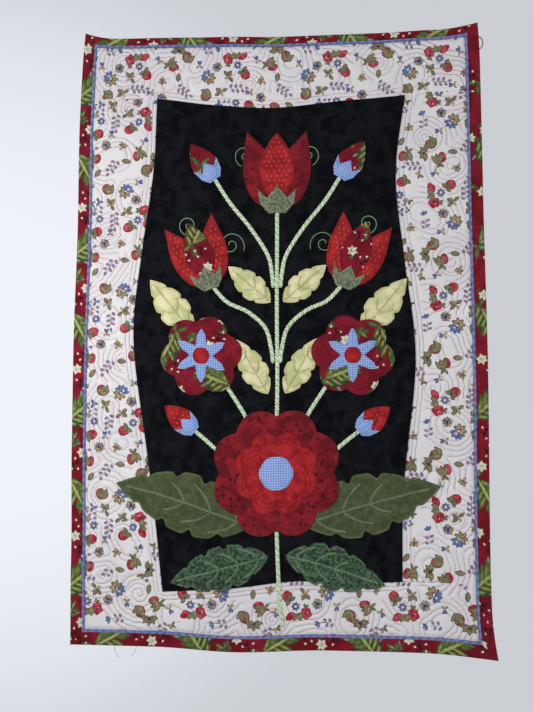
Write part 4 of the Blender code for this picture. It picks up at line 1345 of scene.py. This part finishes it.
CENTRES = swirl_centres()
PANEL_AWAY = Raster(0.0015)
PANEL_AWAY.values = signed_distance(PANEL_RING, *PANEL_AWAY.mesh())
BORDER_LINES = echo_lines(CENTRES, PANEL_AWAY) + swirl_lines(CENTRES, PANEL_AWAY)
BORDER_LINES = [wandering(line) for line in BORDER_LINES]
for out_by in PANEL_LINES:
    BORDER_LINES += [wandering(ring_run, 0.0003) for ring_run in offset_runs(PANEL_RING, out_by)]

FLAT_MESHES = {motif.name: motif_mesh(motif.shape) for motif in MOTIFS}
MOTIF_LINES = []
for motif, _, mirrored in copies(MOTIFS):
    MOTIF_LINES += sewn_lines(motif, mirrored)[0]
STEMS = {"main_stem": (MAIN_STEM, 1)}
for stem, knots in BRANCHES.items():
    STEMS.update({f"{stem}_right": (knots, 1), f"{stem}_left": (knots, -1)})
STEM_LINES = {}
for stem, (knots, mirrored) in STEMS.items():
    knots = [(PANEL_CENTRE[0] + mirrored * u, PANEL_CENTRE[1] + v) for u, v in knots]
    STEM_LINES[stem] = evenly(curve_through(knots, 0.002), 0.0011)
ALL_LINES = [*BORDER_LINES, *MOTIF_LINES, *STEM_LINES.values(), *offset_runs(PANEL_RING, -0.0018)]
LINE_AWAY = near_lines(ALL_LINES, 0.00075, 0.0075)
BORDER_AWAY = near_lines(BORDER_LINES, 0.00075, 0.0075)


def ripple(x, z, size):
    """Slight unevenness that any sewn cloth has."""
    waves = np.sin(x * 91.0 + 3.0 * np.sin(z * 37.0)) + np.sin(z * 83.0 + 2.5 * np.sin(x * 43.0 + 1.0))
    return size * (waves + 0.6 * np.sin(x * 210.0 + z * 170.0)) / 2.6


def border_depth(x, z):
    """The quilted face of the border: puffed between the lines, thin under binding and panel."""
    away = BORDER_AWAY.read(x, z)
    face = VALLEY + PUFF * (1.0 - np.exp(-((away / PUFF_REACH) ** 1.3))) + ripple(x, z, 0.00018)
    outside = PANEL_AWAY.read(x, z)
    low = np.minimum(face, UNDER_PANEL - 0.0002)
    face = low + (face - low) * smooth((outside - 0.0005) / 0.0035)
    seam = np.minimum(np.abs(z - SEAM_TOP), np.abs(z - SEAM_BOTTOM))
    face = face - 0.0004 * np.exp(-((seam / 0.0009) ** 2)) * (outside > 0.0)
    share = smooth((in_from_binding(x, z) - FLAT_BY_BINDING) / RAMP_BY_BINDING)
    return BODY_EDGE_FRONT + (face - BODY_EDGE_FRONT) * share


def counted(length, step):
    """How many points a grid's side takes, one more than a multiple of COARSE."""
    return max(1, round(length / step / COARSE)) * COARSE + 1


TUCK_BINDING = 0.0030
TUCK_PANEL = 0.0080
STRIP_BACK = 0.0030
SEAM_GAP = 0.00002
PANEL_TOP_LINE, PANEL_RIGHT_LINE, PANEL_BOTTOM_LINE, PANEL_LEFT_LINE = [
    curve_through(side, 0.002) for side in PANEL_SIDES
]
PANEL_BOTTOM_LINE = PANEL_BOTTOM_LINE[::-1]

# How the print lies on each strip, as (cosine, sine) of its quarter turn and its place (u, v)
STRIP_PRINT = {
    "top": (1, 0, 0.2328, -0.012),
    "right": (0, 1, 0.6471, -0.1774),
    "bottom": (-1, 0, -0.0522, 0.739),
    "left": (0, -1, -0.0579, -0.1514),
}


def under_panel(x, seam, line, tuck):
    """Where a full-width strip ends: at the seam, or tucked under the panel between its corners."""
    edge = np.interp(x, line[:, 0], line[:, 1]) + tuck
    share = smooth((x - line[0, 0] - 0.004) / 0.008) * smooth((line[-1, 0] - 0.004 - x) / 0.008)
    return seam + (edge - seam) * share


def add_strip(side, outer, inner, across):
    """A border strip between two lines of as many points, with its wadding."""
    share = np.linspace(0.0, 1.0, across)[None, :, None]
    grid = outer[:, None] + (inner - outer)[:, None] * share
    x, z = grid[..., 0], grid[..., 1]
    points, faces = closed_grid(joined(x, border_depth(x, z), z), STRIP_BACK)
    x, z = points[:, 0], points[:, 2]
    c, s, u, v = STRIP_PRINT[side]
    layers = printed(c * x + s * z + u, s * x - c * z + v, BORDER_PRINT)
    add_cloth(f"border_{side}", points, faces, "printed_cotton", "quilt_body", layers)


def add_border():
    left, right = -WIDTH / 2 + BIND_FRONT["left"], WIDTH / 2 - BIND_FRONT["right"]
    top, bottom = -BIND_FRONT["top"], -HEIGHT + BIND_FRONT["bottom"]
    x = np.linspace(left - TUCK_BINDING, right + TUCK_BINDING, counted(right - left, STRIP_STEP))
    for side, edge, seam, line, tuck in (
        ("top", top + TUCK_BINDING, SEAM_TOP + SEAM_GAP, PANEL_TOP_LINE, -TUCK_PANEL),
        ("bottom", bottom - TUCK_BINDING, SEAM_BOTTOM - SEAM_GAP, PANEL_BOTTOM_LINE, TUCK_PANEL),
    ):
        inner = joined(x, under_panel(x, seam, line, tuck))
        deep = abs(inner[:, 1] - edge)
        across = counted(abs(edge - seam) + 0.008, STRIP_STEP)
        add_strip(side, joined(x, edge), inner, across)
    z = np.linspace(SEAM_TOP - SEAM_GAP, SEAM_BOTTOM + SEAM_GAP, counted(SEAM_TOP - SEAM_BOTTOM, STRIP_STEP))
    for side, edge, line, tuck in (
        ("left", left - TUCK_BINDING, PANEL_LEFT_LINE, TUCK_PANEL),
        ("right", right + TUCK_BINDING, PANEL_RIGHT_LINE[::-1], -TUCK_PANEL),
    ):
        inner = joined(np.interp(z, line[:, 1], line[:, 0]) + tuck, z)
        deep = abs(inner[:, 0] - edge)
        across = counted(deep.mean(), STRIP_STEP)
        add_strip(side, joined(edge, z), inner, across)


def back_depth(x, z):
    """The quilted backing: puffed towards the wall between the lines."""
    away = LINE_AWAY.read(x, z)
    puff = 0.0008 * (1.0 - np.exp(-((away / 0.0026) ** 1.3)))
    inset = np.minimum(np.minimum(x + WIDTH / 2, WIDTH / 2 - x), np.minimum(-z, HEIGHT + z))
    return BODY_BACK - puff * smooth((inset - 0.0145) / 0.008)


def add_backing():
    """The backing and the wadding behind the panel, as one closed sheet seen from behind."""
    edge = CLOTH + 0.0006
    x = np.linspace(-WIDTH / 2 + edge, WIDTH / 2 - edge, counted(WIDTH, BACK_STEP))
    z = np.linspace(-edge, -HEIGHT + edge, counted(HEIGHT, BACK_STEP))
    x, z = np.meshgrid(x, z, indexing="ij")
    points, faces = closed_grid(joined(x, back_depth(x, z), z), 0.0022)
    add_cloth("backing", points, faces, "backing", "quilt_body", plain(points[:, 0], points[:, 2]))


# The centre panel


def spaced(length, step):
    """Shares of a side, closer together by both ends, where the cloth is turned under."""
    near = np.array([0.0, 0.0004, 0.0009, 0.0016])
    middle = np.linspace(0.0030, length - 0.0030, counted(length, step) - 2 * len(near))
    return np.concatenate([near, middle, length - near[::-1]]) / length


def add_panel():
    s, t = spaced(PANEL_WIDE, PANEL_STEP), spaced(PANEL_TALL, PANEL_STEP)
    sides = [PANEL_TOP_LINE, PANEL_RIGHT_LINE, PANEL_BOTTOM_LINE, PANEL_LEFT_LINE[::-1]]
    top, right, bottom, left = [
        along(side, share * run_length(side)[-1]) for side, share in zip(sides, (s, t, s, t))
    ]
    s3, t3 = s[:, None, None], t[None, :, None]
    grid = (1 - t3) * top[:, None] + t3 * bottom[:, None] + (1 - s3) * left[None] + s3 * right[None]
    grid -= (1 - s3) * (1 - t3) * top[0] + s3 * (1 - t3) * top[-1]
    grid -= (1 - s3) * t3 * bottom[0] + s3 * t3 * bottom[-1]
    x, z = grid[..., 0], grid[..., 1]
    in_across, in_down = np.minimum(s, 1 - s) * PANEL_WIDE, np.minimum(t, 1 - t) * PANEL_TALL
    inset = np.minimum(in_across[:, None], in_down[None])
    fold = np.sqrt(1.0 - (1.0 - np.clip(inset / 0.0012, 0.0, 1.0)) ** 2)
    depth = PANEL_BACK + PANEL_HEM + (PANEL_FACE.read(x, z) - PANEL_BACK - PANEL_HEM) * fold
    points, faces = closed_grid(joined(x, depth, z), PANEL_BACK)
    layers = plain(points[:, 0], points[:, 2])
    add_cloth("panel", points, faces, "black_cotton", "centre_panel", layers)


# The binding

# Each side's first corner, and its directions along and inwards, clockwise
FRAMES = {
    "top": ((-WIDTH / 2.0, 0.0), (1.0, 0.0), (0.0, -1.0)),
    "right": ((WIDTH / 2.0, 0.0), (0.0, -1.0), (-1.0, 0.0)),
    "bottom": ((WIDTH / 2.0, -HEIGHT), (-1.0, 0.0), (0.0, 1.0)),
    "left": ((-WIDTH / 2.0, -HEIGHT), (0.0, 1.0), (1.0, 0.0)),
}
# Where the print starts on each side, as (along, across, slant)
BINDING_PRINT = {
    "top": (0.079, 0.0125, 0.0),
    "right": (0.008, 0.0370, 0.032),
    "bottom": (0.074, 0.0120, 0.0),
    "left": (0.145, 0.0110, 0.0),
}
MITRE_GAP = 0.00005
FRONT_OUT = BODY_EDGE_FRONT + 0.0013
FRONT_IN = BODY_EDGE_FRONT + 0.0003


def side_facts(side):
    """A side's length, its binding's width, and how its ends are cut on the mitre."""
    order = list(FRAMES)
    at = order.index(side)
    width = BIND_FRONT[side]
    before = BIND_FRONT[order[at - 1]] / width
    after = BIND_FRONT[order[(at + 1) % 4]] / width
    return WIDTH if side in ("top", "bottom") else HEIGHT, width, before, after


def on_side(side, run, inward):
    """Flat x and z of a point a run along a side and some way in from its edge."""
    return [at + ahead * run + inwards * inward for at, ahead, inwards in zip(*FRAMES[side])]


def binding_section(width):
    """The folded strip in section, as (in from the edge, depth), from its front inner edge."""
    back = width * BIND_BACK_SHARE
    section = [(width - 0.0002, FRONT_IN), (width, FRONT_IN + 0.0004), (width - 0.0002, FRONT_OUT - 0.0003)]
    section += [(width - 0.0008, FRONT_OUT)]
    section += [(w, FRONT_OUT + 0.0002) for w in np.linspace(width - 0.0021, 0.0022, 10)]
    fold = [math.radians(a) for a in (90, 120, 150, 180)]
    rounded = [(BIND_ROUND * (1 + math.cos(a)), BIND_ROUND * (1 - math.sin(a))) for a in fold]
    section += [(w, FRONT_OUT - depth) for w, depth in rounded]
    section += rounded[::-1]
    section += [(w, 0.0) for w in np.linspace(0.0035, back - 0.0005, 4)]
    section += [(back, 0.0004), (back - 0.0003, CLOTH), (CLOTH, CLOTH), (CLOTH, FRONT_IN)]
    return np.array(section)


def add_binding(side):
    length, width, before, after = side_facts(side)
    section = binding_section(width)
    w, depth = section.T[:, None]
    start, end = w * before + MITRE_GAP, length - w * after - MITRE_GAP
    run = start + (end - start) * np.linspace(0.0, 1.0, round(length / BIND_STEP))[:, None]
    front = smooth((depth - 0.0045) / 0.0008) * np.sin(math.pi * np.clip(w / width, 0, 1)) ** 0.5
    corner = np.exp(-np.minimum(run - w * before, length - w * after - run) / 0.006)
    wave = np.sin(run * 290.0 + w * 260.0) + np.sin(run * 117.0 - w * 180.0)
    x, z = on_side(side, run, w)
    points = joined(x, depth + front * (0.00014 * wave + 0.0003 * corner), z)
    at = np.arange(x.size).reshape(x.shape)
    faces = quads(np.hstack([at, at[:, :1]])).tolist()
    faces += [at[0].tolist(), at[-1][::-1].tolist()]
    print_along, print_across, slant = BINDING_PRINT[side]
    layers = printed(run + print_along, run_length(section) + print_across + slant * run, RED_PRINT)
    add_cloth(
        f"edge_{side}", points, faces, "red_print", f"binding_{side}", layers,
        50.0,
    )


# One zigzag of the satin stitch, as (share of its pitch, how far over, height)
SATIN_HALF = 0.0015
SATIN_PITCH = 0.00063
SATIN_STEPS = (0.0, 0.92, -0.0004), (0.08, 1.0, 0.0003), (0.5, 0.0, 0.0004)
SATIN_STEPS += (0.92, -1.0, 0.0003), (1.0, -0.92, -0.0004)


def add_satin():
    """The close zigzag of shaded blue thread along the binding's inner edge."""
    paths = []
    for side in FRAMES:
        length, width, before, after = side_facts(side)
        run = np.arange(width * before - 0.0012, length - width * after + 0.0012, SATIN_PITCH)
        hand = np.where(np.arange(len(run)) % 2, 1.0, -1.0)
        uneven = 1.0 + 0.10 * np.sin(run * 700.0)
        rows = []
        for step, over, height in SATIN_STEPS:
            inward = width - over * hand * SATIN_HALF * uneven
            x, z = on_side(side, run + (step - 0.5) * SATIN_PITCH, inward)
            depth = np.where(inward < width, FRONT_OUT + 0.0002, border_depth(x, z) + 0.0001)
            rows.append(joined(x, (depth if over else FRONT_OUT + 0.0003) + height, z))
        paths.append(np.stack(rows, axis=1))
    add_threads("satin_stitch", hang(np.concatenate(paths)), 0.00042, "blue_thread", sides=3)


# What lies on the panel, laid down layer by layer


def lay_cloth(raster, ring):
    """The face on which a cloth of this outline comes to lie: what is there, eased over."""
    window, (x, z) = raster.window(ring, 0.004)
    there = raster.values[window]
    eased = spread(spread(there, 2, np.max), 2, np.mean)
    under = Raster(RASTER_STEP)
    under.values[window] = np.maximum(eased, there) + 0.00004
    return under, window, signed_distance(ring, x, z)


def add_motif(motif, name, mirror):
    ring, verts, under, faces, inset = FLAT_MESHES[motif.name]
    base, window, away = lay_cloth(FACE, place(ring, motif, mirror))
    raised = edge_profile(inset) - line_dip(motif.shape, verts)
    cut = np.vstack([verts, under])
    x, z = place(cut, motif, mirror).T
    depth = base.read(x, z) + np.concatenate([raised, np.zeros(len(under))])
    if motif.cloth == "red_print":
        layers = printed(cut[:, 0] + motif.v, cut[:, 1] + motif.u * mirror, RED_PRINT)
    else:
        layers = plain(*cut.T)
    add_cloth(f"{name}_cloth", joined(x, depth, z), faces, motif.cloth, name, layers)
    lie = base.values[window] + edge_profile(np.maximum(-away, 0.0))
    FACE.values[window] = np.where(away < 0.0, lie, FACE.values[window])


def seed_lines(motif, mirror):
    """Short single stitches in staggered rows over a petal."""
    spots = grid_inside(FLAT_MESHES[motif.name][0], 0.0062, 0.0042)
    return [place(np.array([p, p + [0.0, 0.0021]]), motif, mirror) for p in spots]


def uncovered(runs, motif):
    """The runs without what a later motif covers."""
    later = list(copies(MOTIFS[max(MOTIFS.index(motif) + 1, LEAVES) :]))
    shown = []
    for run in runs:
        keep = np.ones(len(run), bool)
        for other, _, mirror in later:
            ring = place(FLAT_MESHES[other.name][0][::3], other, mirror)
            if (run.min(axis=0) < ring.max(axis=0)).all() and (run.max(axis=0) > ring.min(axis=0)).all():
                keep &= signed_distance(ring, *run.T) > -0.0002
        shown += [run] if keep.all() else runs_of(run, keep, 2)
    return shown


def add_sewing():
    """All stitches on the appliqué, joined by the colour of their thread."""
    by_thread = {}
    for motif, _, mirror in copies(MOTIFS):
        edge, veins = sewn_lines(motif, mirror)
        rows = [(EDGE_THREAD[motif.cloth], edge), (VEIN_THREAD[motif.cloth], veins)]
        if motif.seeds:
            rows.append(("gold_thread", seed_lines(motif, mirror)))
        for thread, lines in rows:
            by_thread.setdefault(thread, []).extend(uncovered(lines, motif))
    for thread, runs in by_thread.items():
        long, gap = (0.0019, 0.0001) if thread == "gold_thread" else (0.0023, 0.0006)
        add_threads(f"sewing_{thread}", stitch_paths(runs, FACE.read, long, gap), SEWING_THREAD, thread)


STEM_PLY = 0.00150
STEM_SWING = 0.00140
STEM_RISE = 0.00062
STEM_TWIST = 0.0076


def add_stem(name):
    """Two plies of cord, one pale green and one white, twisted together and sewn down."""
    line = STEM_LINES[name]
    for ply, material in enumerate(("mint_thread", "white_thread")):
        turn = 2.0 * math.pi * run_length(line) / STEM_TWIST + math.pi * ply
        x, z = (line + beside(line) * (STEM_SWING * np.cos(turn))[:, None]).T
        depth = FACE.read(*line.T) + 0.0010 + STEM_RISE * np.sin(turn)
        path = hang(joined(x, depth, z))
        add_threads(f"{name}_ply_{ply + 1}", path[None], STEM_PLY, material, [name], 8, 0.62)


def raise_stem(name):
    """The stem's own bulk on the face, for what is laid over it."""
    window, (x, z) = FACE.window(STEM_LINES[name], 0.006)
    away = np.full(x.shape, 1.0)
    for p in STEM_LINES[name]:
        away = np.minimum(away, np.hypot(x - p[0], z - p[1]))
    FACE.values[window] += 0.0022 * np.sqrt(np.clip(1.0 - (away / CORD_HALF_WIDTH) ** 2, 0.0, 1.0))


# Small threads and cords

# Tendrils that curl in from their root (u, v), as hand, turns, reach and first direction
TENDRILS = [
    (0.058, 0.118, -1, 1.6, 0.018, 3.6),
    (0.112, 0.142, 1, 1.5, 0.015, 4.2),
    (0.048, -0.020, 1, 1.4, 0.012, 2.2),
    (0.040, 0.232, 1, 1.5, 0.015, 5.0),
]


def add_tendrils():
    paths = []
    t = np.linspace(0.0, 1.0, 90)
    for u, v, hand, turns, reach, start in TENDRILS:
        r = reach * (1.0 - 0.88 * t**0.8)
        turn = start + hand * turns * 2.0 * math.pi * t
        for mirror in (1, -1):
            x, z = PANEL_CENTRE[0] + mirror * (u + r * np.cos(turn)), PANEL_CENTRE[1] + v + r * np.sin(turn)
            paths.append(joined(x, FACE.read(x, z) + 0.0003, z))
    add_threads("tendrils", hang(paths), 0.00048, "green_thread", sides=6)


def add_side_loop():
    """A doubled loop of tan cord, caught in the binding's outer edge."""
    turn = np.linspace(-math.pi / 2, math.pi / 2, 22)
    x = WIDTH / 2.0 - 0.0006 + 0.0056 * np.cos(turn)
    z = -0.0215 + 0.0070 * np.sin(turn)
    for ply in (0, 1):
        swing = 6.0 * turn + math.pi * ply
        path = hang(joined(x + 0.00045 * np.cos(swing), 0.0022 + 0.00045 * np.sin(swing), z))
        add_threads(f"loop_ply_{ply + 1}", path[None], 0.00062, "tan_thread", ["side_loop"], 6)


def add_tails():
    """Two loose thread ends that hang below the bottom edge."""
    t = np.linspace(0.0, 1.0, 16)
    for name, start, end, sway in (
        ("tail_left", (-0.2005, -0.7655), (-0.1945, -0.7815), -0.0016),
        ("tail_right", (-0.1725, -0.7655), (-0.1795, -0.7790), 0.0014),
    ):
        x = start[0] + (end[0] - start[0]) * t + sway * np.sin(math.pi * t)
        z = start[1] + (end[1] - start[1]) * t
        add_threads(name, hang(joined(x, 0.0034 - 0.0012 * t, z))[None], 0.00026, "rose_thread", sides=5)


FACE = Raster(RASTER_STEP)
PANEL_FACE = Raster(RASTER_STEP)
face_x, face_z = FACE.mesh()
SEWN = near_lines([*MOTIF_LINES, *STEM_LINES.values()], 0.0015, 0.015)
PANEL_FACE.values = PANEL_TOP + 0.0004 * smooth(SEWN.read(face_x, face_z) / 0.013)
PANEL_FACE.values += ripple(face_x, face_z, 0.00022)
on_panel = PANEL_AWAY.read(face_x, face_z) < 0.0
FACE.values = np.where(on_panel, PANEL_FACE.values, border_depth(face_x, face_z))

add_border()
add_backing()
add_panel()
for bound_side in FRAMES:
    add_binding(bound_side)
add_satin()
quilting = stitch_paths(uncovered(BORDER_LINES, MOTIFS[0]), border_depth, radius=QUILTING_THREAD)
add_threads("quilting", quilting, QUILTING_THREAD, "rose_thread", sides=3)
back_stitches = stitch_paths(ALL_LINES, back_depth, gap=BACK_GAP, side=-1.0)
add_threads("back_quilting", back_stitches, THREAD, "rose_thread", sides=3)
for each_copy in copies(MOTIFS[:LEAVES]):
    add_motif(each_copy[0], each_copy[1], each_copy[2])
for stem_name in STEM_LINES:
    add_stem(stem_name)
add_tendrils()
for stem_name in STEM_LINES:
    raise_stem(stem_name)
for each_copy in copies(MOTIFS[LEAVES:]):
    add_motif(each_copy[0], each_copy[1], each_copy[2])
add_sewing()
add_side_loop()
add_tails()
